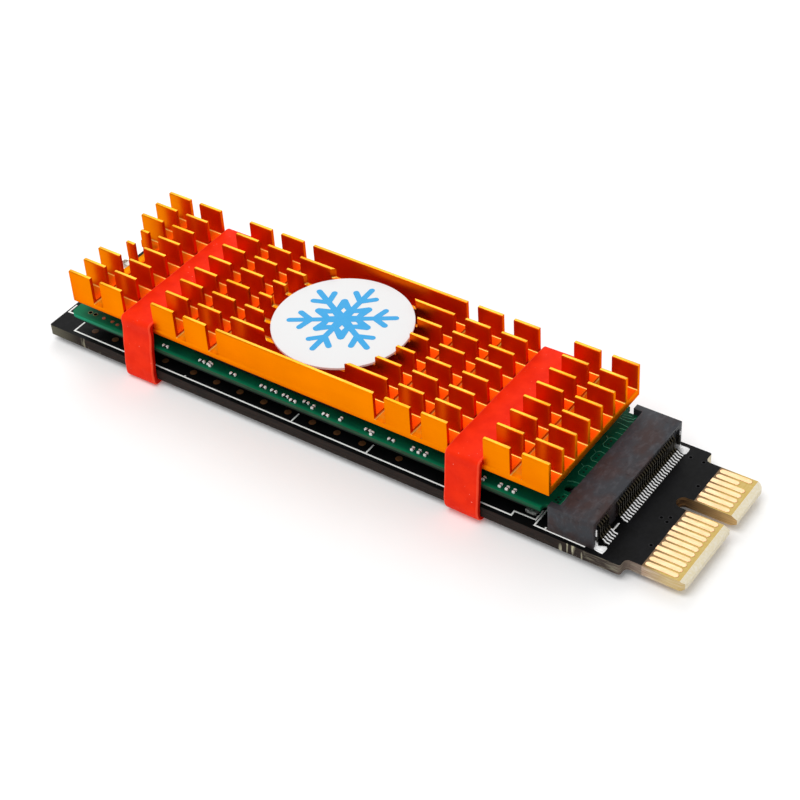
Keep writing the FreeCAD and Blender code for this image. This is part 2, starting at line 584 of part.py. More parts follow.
def make_label_snowflake():
    """Printed snowflake: a six-lobed star with holes, and six forked arms."""
    z0 = POCKET_Z + LABEL_THICKNESS
    z1 = z0 + PRINT_THICKNESS
    star = []
    for lobe in range(6):
        for turn, radius in ((0, FLAKE_WAIST), (30, FLAKE_LOBE_RADIUS)):
            star += turned([(radius, 0)], FLAKE_TURN + 60 * lobe + turn)
    root, reach, side = FLAKE_FORK
    strokes = (((0, 0), (FLAKE_REACH, 0)), ((root, 0), (reach, side)),
               ((root, 0), (reach, -side)))
    arms = [plate(turned(stroke_points(*ends), FLAKE_TURN + 60 * i), z0, z1)
            for ends in strokes for i in range(6)]
    long, wide = FLAKE_HOLE_LENGTH / 2, FLAKE_HOLE_WIDTH / 2
    diamond = [(FLAKE_HOLE_RADIUS - long, 0), (FLAKE_HOLE_RADIUS, -wide),
               (FLAKE_HOLE_RADIUS + long, 0), (FLAKE_HOLE_RADIUS, wide)]
    holes = [plate(turned(diamond, FLAKE_TURN + 60 * i + 30), z0, z1) for i in range(6)]
    return plate(star, z0, z1).fuse(arms).removeSplitter().cut(holes)


# --- what holds it together ---------------------------------------------------
def make_band(x):
    """Silicone band stretched over the heatsink, down the sides and under the board."""
    top, board = DRIVE_WIDTH / 2, BOARD_WIDTH / 2
    side = [(top, CHANNEL_Z), (top, HEATSINK_Z), (board, BOARD_TOP), (board, BOARD_Z)]
    loop = side + [(-y, z) for y, z in reversed(side)]
    x0 = x - BAND_CHANNEL / 2 + BAND_SIDE_CLEARANCE
    inner = Part.makePolygon([V(x0, y, z) for y, z in loop + loop[:1]])
    outer = inner.makeOffset2D(BAND_THICKNESS, join=0)
    ring = Part.Face(Part.Wire(outer.Edges)).cut(Part.Face(inner))
    return ring.extrude(AXIS_X * (BAND_CHANNEL - 2 * BAND_SIDE_CLEARANCE))


def make_standoff():
    """Threaded standoff: its boss is pressed in the board, the drive lies on it."""
    body = rod(STANDOFF_RADIUS, BOARD_TOP, DRIVE_Z, DRIVE_END_X)
    boss = rod(STANDOFF_BOSS_RADIUS, BOARD_TOP - STANDOFF_BOSS_LENGTH, BOARD_TOP, DRIVE_END_X)
    bore = rod(SCREW_RADIUS + SCREW_BORE_CLEARANCE, BOARD_TOP - STANDOFF_BOSS_LENGTH, DRIVE_Z,
               DRIVE_END_X)
    return body.fuse(boss).cut(bore).removeSplitter()


def make_retaining_screw():
    """Pan-head screw with a cross recess that clamps the drive's end."""
    crown = 0.35 * SCREW_HEAD_HEIGHT
    shank = rod(SCREW_RADIUS, DRIVE_TOP - SCREW_LENGTH, DRIVE_TOP, DRIVE_END_X)
    head = rod(SCREW_HEAD_RADIUS, DRIVE_TOP, DRIVE_TOP + SCREW_HEAD_HEIGHT, DRIVE_END_X)
    rim = [e for e in head.Edges if e.BoundBox.ZMin > DRIVE_TOP + SCREW_HEAD_HEIGHT - 1e-6]
    head = head.makeChamfer(crown, rim)
    top = DRIVE_TOP + SCREW_HEAD_HEIGHT
    long, wide = SCREW_RECESS_LENGTH / 2, SCREW_RECESS_WIDTH / 2
    recess = [box(DRIVE_END_X - a, DRIVE_END_X + a, -b, b, top - SCREW_RECESS_DEPTH, top)
              for a, b in ((long, wide), (wide, long))]
    return head.fuse(shank).cut(recess).removeSplitter()


def make_parts():
    """Every sub-part, by node name."""
    ends = chip_ends()
    left_band, right_band = band_centres()
    return {
        "adapter_board": make_adapter_board(),
        "edge_contacts_top": make_edge_contacts(BOARD_TOP, PRESENCE_PIN_TOP),
        "edge_contacts_bottom": make_edge_contacts(BOARD_Z - PIN_THICKNESS,
                                                   PRESENCE_PIN_BOTTOM),
        "board_decoupler": make_board_decoupler(),
        "socket_housing": make_socket_housing(),
        "socket_contacts_upper": Part.makeCompound([upper_contact(y) for y in ODD_ROW]),
        "socket_contacts_lower": Part.makeCompound([lower_contact(y) for y in EVEN_ROW]),
        "socket_board_locks": Part.makeCompound([board_lock(-1), board_lock(1)]),
        "drive_board": make_drive_board(),
        "drive_contacts_top": make_gold_pads(ODD_ROW, DRIVE_TOP),
        "drive_contacts_bottom": make_gold_pads(EVEN_ROW, DRIVE_Z - GOLD_PAD_THICKNESS),
        "drive_controller": chip(ends["controller"], CONTROLLER_SIDE, CONTROLLER_SIDE,
                                 CHIP_HEIGHT),
        "drive_dram": chip(ends["dram"], DRAM_LENGTH, DRAM_WIDTH, CHIP_HEIGHT),
        "drive_flash_chips": Part.makeCompound([
            chip(ends[name], FLASH_LENGTH, FLASH_WIDTH, CHIP_HEIGHT)
            for name in ("flash", "flash_2")]),
        "drive_regulator": chip(ends["regulator"], REGULATOR_SIDE, REGULATOR_SIDE,
                                REGULATOR_HEIGHT),
        "drive_resistors": make_passives(RESISTOR_STATIONS, True),
        "drive_capacitors": make_passives(CAPACITOR_STATIONS, False),
        "thermal_pad": make_thermal_pad(),
        "heatsink": make_heatsink(),
        "label_disc": make_label_disc(),
        "label_snowflake": make_label_snowflake(),
        "band_screw_end": make_band(left_band),
        "band_socket_end": make_band(right_band),
        "standoff": make_standoff(),
        "retaining_screw": make_retaining_screw(),
    }


os.makedirs("parts", exist_ok=True)
for node, shape in make_parts().items():
    shape.exportStep("parts/" + node + ".step")
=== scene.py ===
import logging
import math
from contextlib import contextmanager
from dataclasses import dataclass
from enum import Enum
from typing import Callable, Iterable, Iterator, Sequence

import bmesh
import bpy
from mathutils import Matrix, Vector, noise
from mathutils.geometry import delaunay_2d_cdt


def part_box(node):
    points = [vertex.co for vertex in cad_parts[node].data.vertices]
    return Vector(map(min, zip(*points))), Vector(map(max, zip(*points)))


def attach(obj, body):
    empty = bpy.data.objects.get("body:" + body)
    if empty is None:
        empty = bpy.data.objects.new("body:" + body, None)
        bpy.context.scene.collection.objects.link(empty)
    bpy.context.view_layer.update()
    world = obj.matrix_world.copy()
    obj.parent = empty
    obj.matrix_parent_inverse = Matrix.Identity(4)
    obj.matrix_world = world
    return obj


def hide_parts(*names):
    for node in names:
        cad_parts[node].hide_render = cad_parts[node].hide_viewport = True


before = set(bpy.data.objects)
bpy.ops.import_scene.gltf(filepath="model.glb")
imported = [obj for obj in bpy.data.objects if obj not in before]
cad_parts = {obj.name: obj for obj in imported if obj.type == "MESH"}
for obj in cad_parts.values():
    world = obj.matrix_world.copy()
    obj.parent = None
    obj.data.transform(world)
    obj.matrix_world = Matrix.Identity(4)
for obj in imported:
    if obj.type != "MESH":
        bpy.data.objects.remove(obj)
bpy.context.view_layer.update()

log = logging.getLogger("nvme_adapter_card")

MM = 0.001
ROOT = "root"
FACING = 0.9             # share of a normal along an axis from which a face faces that way
WELD = 0.002             # loose corners of a CAD mesh nearer than this, in mm, are joined
FLAT_ANGLE = 1.0         # seams flatter than this, in degrees, are cleared
SHARP_ANGLE = 30.0       # edges sharper than this, in degrees, are softened
SOFT_SEGMENTS = 2        # faces across a softened edge
Point = tuple[float, float]
Point3 = tuple[float, float, float]


class Side(Enum):
    """The two long sides of the card."""

    NEAR = -1
    FAR = 1


class Measure(Enum):
    """What a Geometry Nodes input counts: its socket type and its unit."""

    LENGTH = ("NodeSocketFloat", MM)
    SHARE = ("NodeSocketFloat", 1.0)
    COUNT = ("NodeSocketInt", 1)


# --- colour, nodes and meshes ---------------------------------------------------
def linear(hex_colour: str) -> tuple[float, float, float, float]:
    """Turn an sRGB hex colour to the linear values that a shader takes.

    Args:
        hex_colour: Six hex digits after a hash sign.

    Returns:
        Red, green, blue and an alpha of one.
    """
    values = [int(hex_colour[i:i + 2], 16) / 255 for i in (1, 3, 5)]
    red, green, blue = (v / 12.92 if v <= 0.04045 else ((v + 0.055) / 1.055) ** 2.4
                        for v in values)
    return red, green, blue, 1.0


def per_mm(size: float) -> float:
    """Texture scale, on coordinates in metres, of a pattern `size` millimetres across."""
    return 1.0 / (size * MM)


def add_node(tree: bpy.types.NodeTree, kind: str, values: dict | None = None,
             links: dict | None = None, **settings: object) -> bpy.types.Node:
    """Add one node with its settings, socket values and links.

    Args:
        tree: The node tree it goes into.
        kind: Blender's name for the node type.
        values: Socket name or index to constant value.
        links: Socket name or index to the output socket that feeds it.
        **settings: Properties of the node itself.

    Returns:
        The new node.
    """
    made = tree.nodes.new(kind)
    for name, value in settings.items():
        setattr(made, name, value)
    for name, value in (values or {}).items():
        made.inputs[name].default_value = value
    for name, source in (links or {}).items():
        tree.links.new(source, made.inputs[name])
    return made


@contextmanager
def editing(mesh: bpy.types.Mesh, source: bpy.types.Mesh | None = None
            ) -> Iterator[bmesh.types.BMesh]:
    """Open a mesh for editing and write the result back at the end.

    Args:
        mesh: The mesh that is written.
        source: The mesh that is read, where it is another one.

    Yields:
        The editable form.
    """
    bm = bmesh.new()
    bm.from_mesh(source or mesh)
    yield bm
    bm.to_mesh(mesh)
    bm.free()


def add_object(name: str, data: bpy.types.ID) -> bpy.types.Object:
    """Put a new object at the origin and link it to the scene."""
    made = bpy.data.objects.new(name, data)
    bpy.context.scene.collection.objects.link(made)
    return made


def ring_quads(lower: int, upper: int, count: int) -> list[tuple[int, ...]]:
    """Faces between two closed rings of points.

    Args:
        lower: Index of the first ring's first point.
        upper: Index of the second ring's first point.
        count: Points in each ring.

    Returns:
        Corner indices of each face.
    """
    return [(lower + i, lower + (i + 1) % count, upper + (i + 1) % count, upper + i)
            for i in range(count)]


def mesh_piece(name: str, points: Sequence[Sequence[float]], faces: Sequence[Sequence[int]],
               material: bpy.types.Material | None = None,
               edges: Sequence[Sequence[int]] = ()) -> bpy.types.Object:
    """Make an object at the origin from points in millimetres.

    Args:
        name: Name of the object.
        points: Places in the frame, in millimetres.
        faces: Corner indices of each face.
        material: Finish of the whole piece, where it has one.
        edges: Loose edges, for a piece that Geometry Nodes will grow along.

    Returns:
        The new object, linked to the scene.
    """
    mesh = bpy.data.meshes.new(name)
    mesh.from_pydata([tuple(c * MM for c in p) for p in points], list(edges), list(faces))
    mesh.update()
    if material:
        mesh.materials.append(material)
    return add_object(name, mesh)


def merged_copy(node: str, name: str) -> bpy.types.Object:
    """Copy a CAD node, join its loose triangles and clear the seams in flat faces.

    Args:
        node: Name of the CAD node.
        name: Name of the copy.

    Returns:
        The copy, which stands at the origin.
    """
    mesh = bpy.data.meshes.new(name)
    with editing(mesh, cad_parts[node].data) as bm:
        bmesh.ops.remove_doubles(bm, verts=bm.verts, dist=WELD * MM)
        bmesh.ops.dissolve_limit(bm, angle_limit=math.radians(FLAT_ANGLE), verts=bm.verts,
                                 edges=bm.edges, use_dissolve_boundaries=False)
    return add_object(name, mesh)


def bake_modifiers(piece: bpy.types.Object) -> bpy.types.Object:
    """Turn what the modifiers make into a plain mesh, and remove them."""
    bpy.context.view_layer.update()
    evaluated = piece.evaluated_get(bpy.context.evaluated_depsgraph_get())
    mesh = bpy.data.meshes.new_from_object(evaluated)
    piece.modifiers.clear()
    piece.data = mesh
    return piece


def soften_edges(piece: bpy.types.Object, width: float) -> bpy.types.Object:
    """Round the sharp edges of a piece a little, as plating, moulding or wear does.

    Args:
        piece: The piece to work on.
        width: Width of the rounding in millimetres.

    Returns:
        The same piece with a plain mesh.
    """
    bevel = piece.modifiers.new("edges", "BEVEL")
    bevel.width = width * MM
    bevel.segments = SOFT_SEGMENTS
    bevel.limit_method = "ANGLE"
    bevel.angle_limit = math.radians(SHARP_ANGLE)
    bevel.harden_normals = False
    return bake_modifiers(piece)


def smooth(piece: bpy.types.Object, angle: float = 35.0) -> bpy.types.Object:
    """Shade the piece smooth, with the edges sharper than `angle` degrees kept crisp."""
    crisp = math.radians(angle)
    with editing(piece.data) as bm:
        for face in bm.faces:
            face.smooth = True
        for edge in bm.edges:
            edge.smooth = len(edge.link_faces) == 2 and edge.calc_face_angle(0.0) < crisp
    return piece


def outward(piece: bpy.types.Object) -> bpy.types.Object:
    """Turn every face of a closed piece outwards."""
    with editing(piece.data) as bm:
        bmesh.ops.recalc_face_normals(bm, faces=bm.faces[:])
    return piece


def settle(piece: bpy.types.Object, replaced: Iterable[str] = ()) -> bpy.types.Object:
    """Hand a finished piece to the frame: it rides on the card and stands for CAD nodes.

    Args:
        piece: The finished piece.
        replaced: CAD nodes that it stands for.

    Returns:
        The same piece.
    """
    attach(piece, ROOT)
    if replaced:
        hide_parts(*replaced)
    log.info("%s: %d faces", piece.name, len(piece.data.polygons))
    return piece


def low(node: str) -> Vector:
    """Lowest corner of a CAD node, in millimetres."""
    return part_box(node)[0] / MM


def high(node: str) -> Vector:
    """Highest corner of a CAD node, in millimetres."""
    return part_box(node)[1] / MM


# --- finishes ---------------------------------------------------------------------
class Coating:
    """A material in the making: patterns are laid on it, one over another.

    Attributes:
        material: The Blender material.
        tree: Its node tree.
        shader: Its Principled shader.
        place: Object coordinates, in metres.
        colour: The colour so far, a value or the socket that gives it.
        roughness: The roughness that patterns wander about.
    """

    def __init__(self, finish: "Finish") -> None:
        """Start from the plain finish."""
        self.material = bpy.data.materials.new(finish.name)
        self.material.use_nodes = True
        self.tree = self.material.node_tree
        self.tree.nodes.clear()
        values = {"Base Color": linear(finish.colour), "Roughness": finish.roughness,
                  "Metallic": finish.metallic, "Specular IOR Level": finish.specular,
                  "Specular Tint": linear(finish.tint)}
        if not finish.metallic:
            values["IOR"] = finish.ior
        self.shader = add_node(self.tree, "ShaderNodeBsdfPrincipled", values)
        self.place = add_node(self.tree, "ShaderNodeTexCoord").outputs["Object"]
        self.colour: tuple[float, ...] | bpy.types.NodeSocket = linear(finish.colour)
        self.roughness = finish.roughness
        add_node(self.tree, "ShaderNodeOutputMaterial",
                 links={"Surface": self.shader.outputs["BSDF"]})

    def patches(self, size: float, start: float = 0.3, full: float = 0.7, most: float = 1.0,
                detail: float = 3.0, stretch: Point3 = (1.0, 1.0, 1.0)
                ) -> bpy.types.NodeSocket:
        """Soft random patches.

        Args:
            size: Size of a patch, in millimetres.
            start: Noise level where a patch begins.
            full: Noise level where it is full.
            most: Share inside a patch.
            detail: Octaves of finer noise.
            stretch: How much denser the pattern is along each axis.

        Returns:
            The share, from 0 to `most`.
        """
        mapped = add_node(self.tree, "ShaderNodeMapping", {"Scale": stretch},
                          {"Vector": self.place})
        noise_map = add_node(self.tree, "ShaderNodeTexNoise",
                             {"Scale": per_mm(size), "Detail": detail},
                             {"Vector": mapped.outputs["Vector"]})
        return add_node(self.tree, "ShaderNodeMapRange",
                        {"From Min": start, "From Max": full, "To Max": most},
                        {"Value": noise_map.outputs["Fac"]}).outputs["Result"]

    def along(self, letter: str, start: float, full: float, most: float = 1.0
              ) -> bpy.types.NodeSocket:
        """Share that grows along an axis.

        Args:
            letter: X, Y or Z.
            start: Place where it is 0, in millimetres.
            full: Place where it is `most`.
            most: Largest share.

        Returns:
            The share.
        """
        parts = add_node(self.tree, "ShaderNodeSeparateXYZ", links={"Vector": self.place})
        return add_node(self.tree, "ShaderNodeMapRange",
                        {"From Min": start * MM, "From Max": full * MM, "To Max": most},
                        {"Value": parts.outputs[letter]}).outputs["Result"]

    def joint(self, operation: str, *shares: bpy.types.NodeSocket) -> bpy.types.NodeSocket:
        """Combine several shares one after another.

        Args:
            operation: MULTIPLY where all are wanted, MAXIMUM where any is.
            *shares: The shares.

        Returns:
            The combined share.
        """
        result = shares[0]
        for share in shares[1:]:
            result = add_node(self.tree, "ShaderNodeMath", links={0: result, 1: share},
                              operation=operation).outputs[0]
        return result

    def lay(self, share: bpy.types.NodeSocket, colour: str) -> None:
        """Lay another colour over part of the surface.

        Args:
            share: How much of it shows at each place.
            colour: Its hex value.
        """
        over = add_node(self.tree, "ShaderNodeMix", {7: linear(colour)}, {0: share},
                        data_type="RGBA")
        if isinstance(self.colour, tuple):
            over.inputs[6].default_value = self.colour
        else:
            self.tree.links.new(self.colour, over.inputs[6])
        self.colour = over.outputs[2]
        self.tree.links.new(self.colour, self.shader.inputs["Base Color"])

    def polish(self, share: bpy.types.NodeSocket, spread: float) -> None:
        """Let the roughness wander.

        Args:
            share: Pattern from 0 to 1.
            spread: Most that it adds or takes away.
        """
        value = add_node(self.tree, "ShaderNodeMapRange",
                         {"To Min": self.roughness - spread, "To Max": self.roughness + spread},
                         {"Value": share})
        self.tree.links.new(value.outputs["Result"], self.shader.inputs["Roughness"])

    def relief(self, share: bpy.types.NodeSocket, height: float, strength: float = 1.0
               ) -> None:
        """Turn a pattern into relief.

        Args:
            share: Height pattern from 0 to 1.
            height: Full height, in millimetres.
            strength: Share of it that shows.
        """
        bump = add_node(self.tree, "ShaderNodeBump",
                        {"Distance": height * MM, "Strength": strength}, {"Height": share})
        self.tree.links.new(bump.outputs["Normal"], self.shader.inputs["Normal"])


@dataclass(frozen=True)
class Finish:
    """What a surface is made of and how it was made.

    A subclass adds the pattern of its process in `dress`. Here that is only the slight
    unevenness that every surface has.
    """

    name: str
    colour: str
    roughness: float = 0.5
    metallic: float = 0.0
    ior: float = 1.5
    specular: float = 0.5
    tint: str = "#FFFFFF"

    def build(self) -> bpy.types.Material:
        """Make the Blender material."""
        coating = Coating(self)
        self.dress(coating)
        return coating.material

    def dress(self, coating: Coating) -> None:
        """Lay the process's pattern on the coating."""
        coating.polish(coating.patches(0.8), 0.08)
        coating.relief(coating.patches(0.25), 0.004)


@dataclass(frozen=True)
class AnodisedAluminium(Finish):
    """Extruded and milled aluminium, dyed and anodised: a satin metal with faint draw lines."""

    second: str = "#F28A04"
    grain: float = 0.14
    # painted reflection: colour for the groove floors in the open bays beyond bay_edge, where
    # they catch the lamp
    lit_outer_bay: str = ""
    bay_edge: float = 10.2
    # painted light: a lighter colour laid over the fins toward the open left end, from end_start
    # to end_full
    end_fins: str = ""
    end_start: float = -40.0
    end_full: float = -45.5

    def dress(self, coating: Coating) -> None:
        """Draw lines along the extrusion, a fine etched grain and slight dye variation."""
        coating.lay(coating.patches(6.0), self.second)
        # painted reflection: the open outer bays of the grooves get their own colour
        if self.lit_outer_bay:
            lit_bays = coating.joint(
                "MAXIMUM", coating.along("Y", -self.bay_edge, -self.bay_edge - 0.2),
                coating.along("Y", self.bay_edge, self.bay_edge + 0.2))
            coating.lay(lit_bays, self.lit_outer_bay)
        # painted light: the fins grow lighter toward the open left end
        if self.end_fins:
            coating.lay(coating.along("X", self.end_start, self.end_full), self.end_fins)
        coating.polish(coating.patches(self.grain, 0.25, 0.75, detail=2.0,
                                       stretch=(0.03, 1.0, 1.0)), 0.05)
        coating.relief(coating.patches(self.grain, 0.1, 0.9), 0.003, 0.5)


@dataclass(frozen=True)
class SolderMask(Finish):
    """Cured liquid solder mask over copper and glass cloth: a lacquer with a slight ripple."""

    second: str = "#101010"
    border: str = ""
    border_half: float = 10.35
    border_end: float = -44.3

    def dress(self, coating: Coating) -> None:
        """Thicker and thinner lacquer, a border with no copper, and the cloth's ripple."""
        coating.lay(coating.patches(3.0, 0.35, 0.65), self.second)
        if self.border:
            edge = coating.joint(
                "MAXIMUM", coating.along("Y", -self.border_half, -self.border_half - 0.35),
                coating.along("Y", self.border_half, self.border_half + 0.35),
                coating.along("X", self.border_end + 2.5, self.border_end))
            coating.lay(edge, self.border)
        weave = coating.patches(0.5, 0.2, 0.8, detail=1.0)
        coating.polish(weave, 0.06)
        coating.relief(weave, 0.005)


@dataclass(frozen=True)
class LaminateEdge(Finish):
    """Routed edge of glass-epoxy board: resin with layers and broken fibre ends."""

    dark: str = "#1A1310"
    pale: str = "#B9B49A"
    frays: tuple[tuple[float, float, float], ...] = ((34.9, 2.1, 1.0), (-42.6, 2.4, 0.5))
    ends: tuple[tuple[float, float, str], ...] = ((-44.5, -49.0, "#5E5B4C"),
                                                  (34.5, 41.0, "#443A34"),
                                                  (40.6, 43.2, "#857468"))
    streaked_from: float = 36.4
    # colour laid over the lowest part of the edge; on the drive's edge a painted shadow
    foot: tuple[float, float, str] | None = None

    def dress(self, coating: Coating) -> None:
        """Thin layers, frayed stretches, drag streaks of the router and fibre ends."""
        layers = coating.patches(1.2, 0.35, 0.65, detail=2.0, stretch=(0.4, 0.4, 6.0))
        coating.lay(layers, self.dark)
        # a colour laid over each listed stretch of X; on the drive's edge these are painted light
        # and shade
        for start, full, colour in self.ends:
            coating.lay(coating.along("X", start, full), colour)
        drags = coating.patches(0.7, 0.5, 0.7, 0.35, 3.0, (0.35, 0.35, 3.0))
        inside = coating.along("X", self.streaked_from, self.streaked_from + 0.8)
        coating.lay(coating.joint("MULTIPLY", drags, inside), self.pale)
        for middle, half, most in self.frays:
            torn = coating.patches(0.7, 0.5, 0.62, most, 2.0, (1.3, 0.2, 0.2))
            inside = coating.joint(
                "MULTIPLY", coating.along("X", middle - half, middle - half * 0.6),
                coating.along("X", middle + half, middle + half * 0.6), torn)
            coating.lay(inside, self.pale)
        coating.lay(coating.patches(0.18, 0.68, 0.78, 0.4, 2.0), self.pale)
        # painted shadow: the lowest part of the edge darkened
        if self.foot:
            coating.lay(coating.along("Z", *self.foot[:2]), self.foot[2])
        coating.relief(layers, 0.02)


@dataclass(frozen=True)
class BareLaminate(Finish):
    """Glass-epoxy with no mask: the cloth's crossing bundles show through clear resin."""

    bundle: float = 0.5
    shade: str = "#5A3A1A"
    shade_from: float = 46.6
    shade_to: float = 43.6
    haze: str = "#DCC888"

    def dress(self, coating: Coating) -> None:
        """Cloudy resin over the cloth, browner towards the inner copper."""
        weave = [coating.patches(self.bundle, 0.35, 0.65, 0.6, 1.0, stretch)
                 for stretch in ((0.25, 1.6, 1.0), (1.6, 0.25, 1.0))]
        cloth = coating.joint("MULTIPLY", *weave)
        coating.lay(cloth, self.haze)
        coating.lay(coating.along("X", self.shade_from, self.shade_to), self.shade)
        coating.polish(cloth, 0.1)
        coating.relief(cloth, 0.01)


@dataclass(frozen=True)
class MilledLaminate(Finish):
    """Glass-epoxy cut across the cloth: chalky torn fibres in tan resin, in layers."""

    torn: str = "#F1EBDD"
    torn_size: float = 0.2
    torn_share: float = 0.5
    layer_stretch: Point3 = (1.0, 1.0, 1.0)
    blush: str = ""
    blush_from: float = 46.5
    blush_to: float = 44.0

    def dress(self, coating: Coating) -> None:
        """Torn fibre ends beside bare resin, and a browner stretch near the mask."""
        # a colour laid along X; on the key slot's walls this is painted shade
        if self.blush:
            coating.lay(coating.along("X", self.blush_from, self.blush_to), self.blush)
            drags = coating.patches(0.6, 0.5, 0.72, 0.7, 3.0, (0.3, 0.6, 3.0))
            coating.lay(coating.joint("MULTIPLY", drags, coating.along(
                "X", self.blush_from, self.blush_to + 1.0)), self.torn)
        torn = coating.patches(self.torn_size, 0.4, 0.72, self.torn_share, 4.0,
                               self.layer_stretch)
        coating.lay(torn, self.torn)
        coating.relief(torn, 0.015)


@dataclass(frozen=True)
class GoldPlate(Finish):
    """Hard gold over nickel: a bright plate with fine wiping scratches along the card."""

    second: str = "#E6BE96"

    def dress(self, coating: Coating) -> None:
        """Scratches along X and a soft change of tone."""
        scratches = coating.patches(0.12, 0.25, 0.75, stretch=(0.05, 1.0, 1.0))
        coating.lay(coating.patches(1.5, 0.35, 0.65), self.second)
        coating.polish(scratches, 0.08)
        coating.relief(scratches, 0.002)


@dataclass(frozen=True)
class SpringContact(Finish):
    """Copper-alloy spring: a dull stem above a tinned solder tail."""

    stem: str = "#4A4436"
    # painted shade in part: the change is set where the contacts pass into the housing's shade
    change_height: float = 2.78

    def dress(self, coating: Coating) -> None:
        """Tinned below the change, dull and brownish above it; on the socket's contacts the dark
        stem is partly painted shade inside the housing.
        """
        coating.lay(coating.along("Z", self.change_height, self.change_height + 0.25),
                    self.stem)
        coating.polish(coating.patches(0.3), 0.08)


@dataclass(frozen=True)
class MouldedPlastic(Finish):
    """Glass-filled liquid-crystal polymer: matt, with cloudy flow marks from the mould."""

    flow: str = "#3E2E2C"
    fleck: str = "#6E7076"

    def dress(self, coating: Coating) -> None:
        """Brownish flow clouds, short fibre flecks, small scuffs and a fine matt grain."""
        clouds = coating.patches(3.4, 0.44, 0.6, 0.9, 6.0, (1.0, 0.6, 1.0))
        coating.lay(clouds, self.flow)
        coating.lay(coating.patches(0.9, 0.5, 0.75, 0.22, 6.0, (1.6, 0.8, 1.0)), self.fleck)
        coating.lay(coating.patches(1.1, 0.6, 0.72, 0.6, 6.0, (1.0, 2.2, 1.0)), "#1A181A")
        coating.polish(clouds, 0.05)
        coating.relief(coating.patches(0.16, 0.2, 0.8), 0.006)


@dataclass(frozen=True)
class SiliconeRubber(Finish):
    """Moulded silicone under tension: satin, with a leathery skin and some lint on it."""

    shade: str = "#E01E0A"
    lint: str = "#FFB9A8"

    def dress(self, coating: Coating) -> None:
        """Soft tone changes, a fine leathery skin and a few specks of lint."""
        coating.lay(coating.patches(2.4, 0.35, 0.7, 0.6, 4.0), self.shade)
        coating.lay(coating.patches(0.22, 0.76, 0.8, 0.7, 1.0), self.lint)
        coating.polish(coating.patches(1.2), 0.06)
        coating.relief(coating.patches(0.4, 0.2, 0.8, detail=4.0), 0.02, 0.6)


@dataclass(frozen=True)
class CoatedLabel(Finish):
    """Vinyl label or the ink on it: smooth, with a faint pull of the film."""

    def dress(self, coating: Coating) -> None:
        """Very slight waves in the film."""
        coating.polish(coating.patches(1.4), 0.05)
        coating.relief(coating.patches(4.0, 0.2, 0.8, detail=1.0), 0.02, 0.5)


@dataclass(frozen=True)
class SolderMetal(Finish):
    """Reflowed tin solder: bright, with a frosty crystalline skin."""

    def dress(self, coating: Coating) -> None:
        """Grains of the frozen skin."""
        grains = coating.patches(0.3, 0.25, 0.75, detail=4.0)
        coating.polish(grains, 0.1)
        coating.relief(grains, 0.015, 0.5)


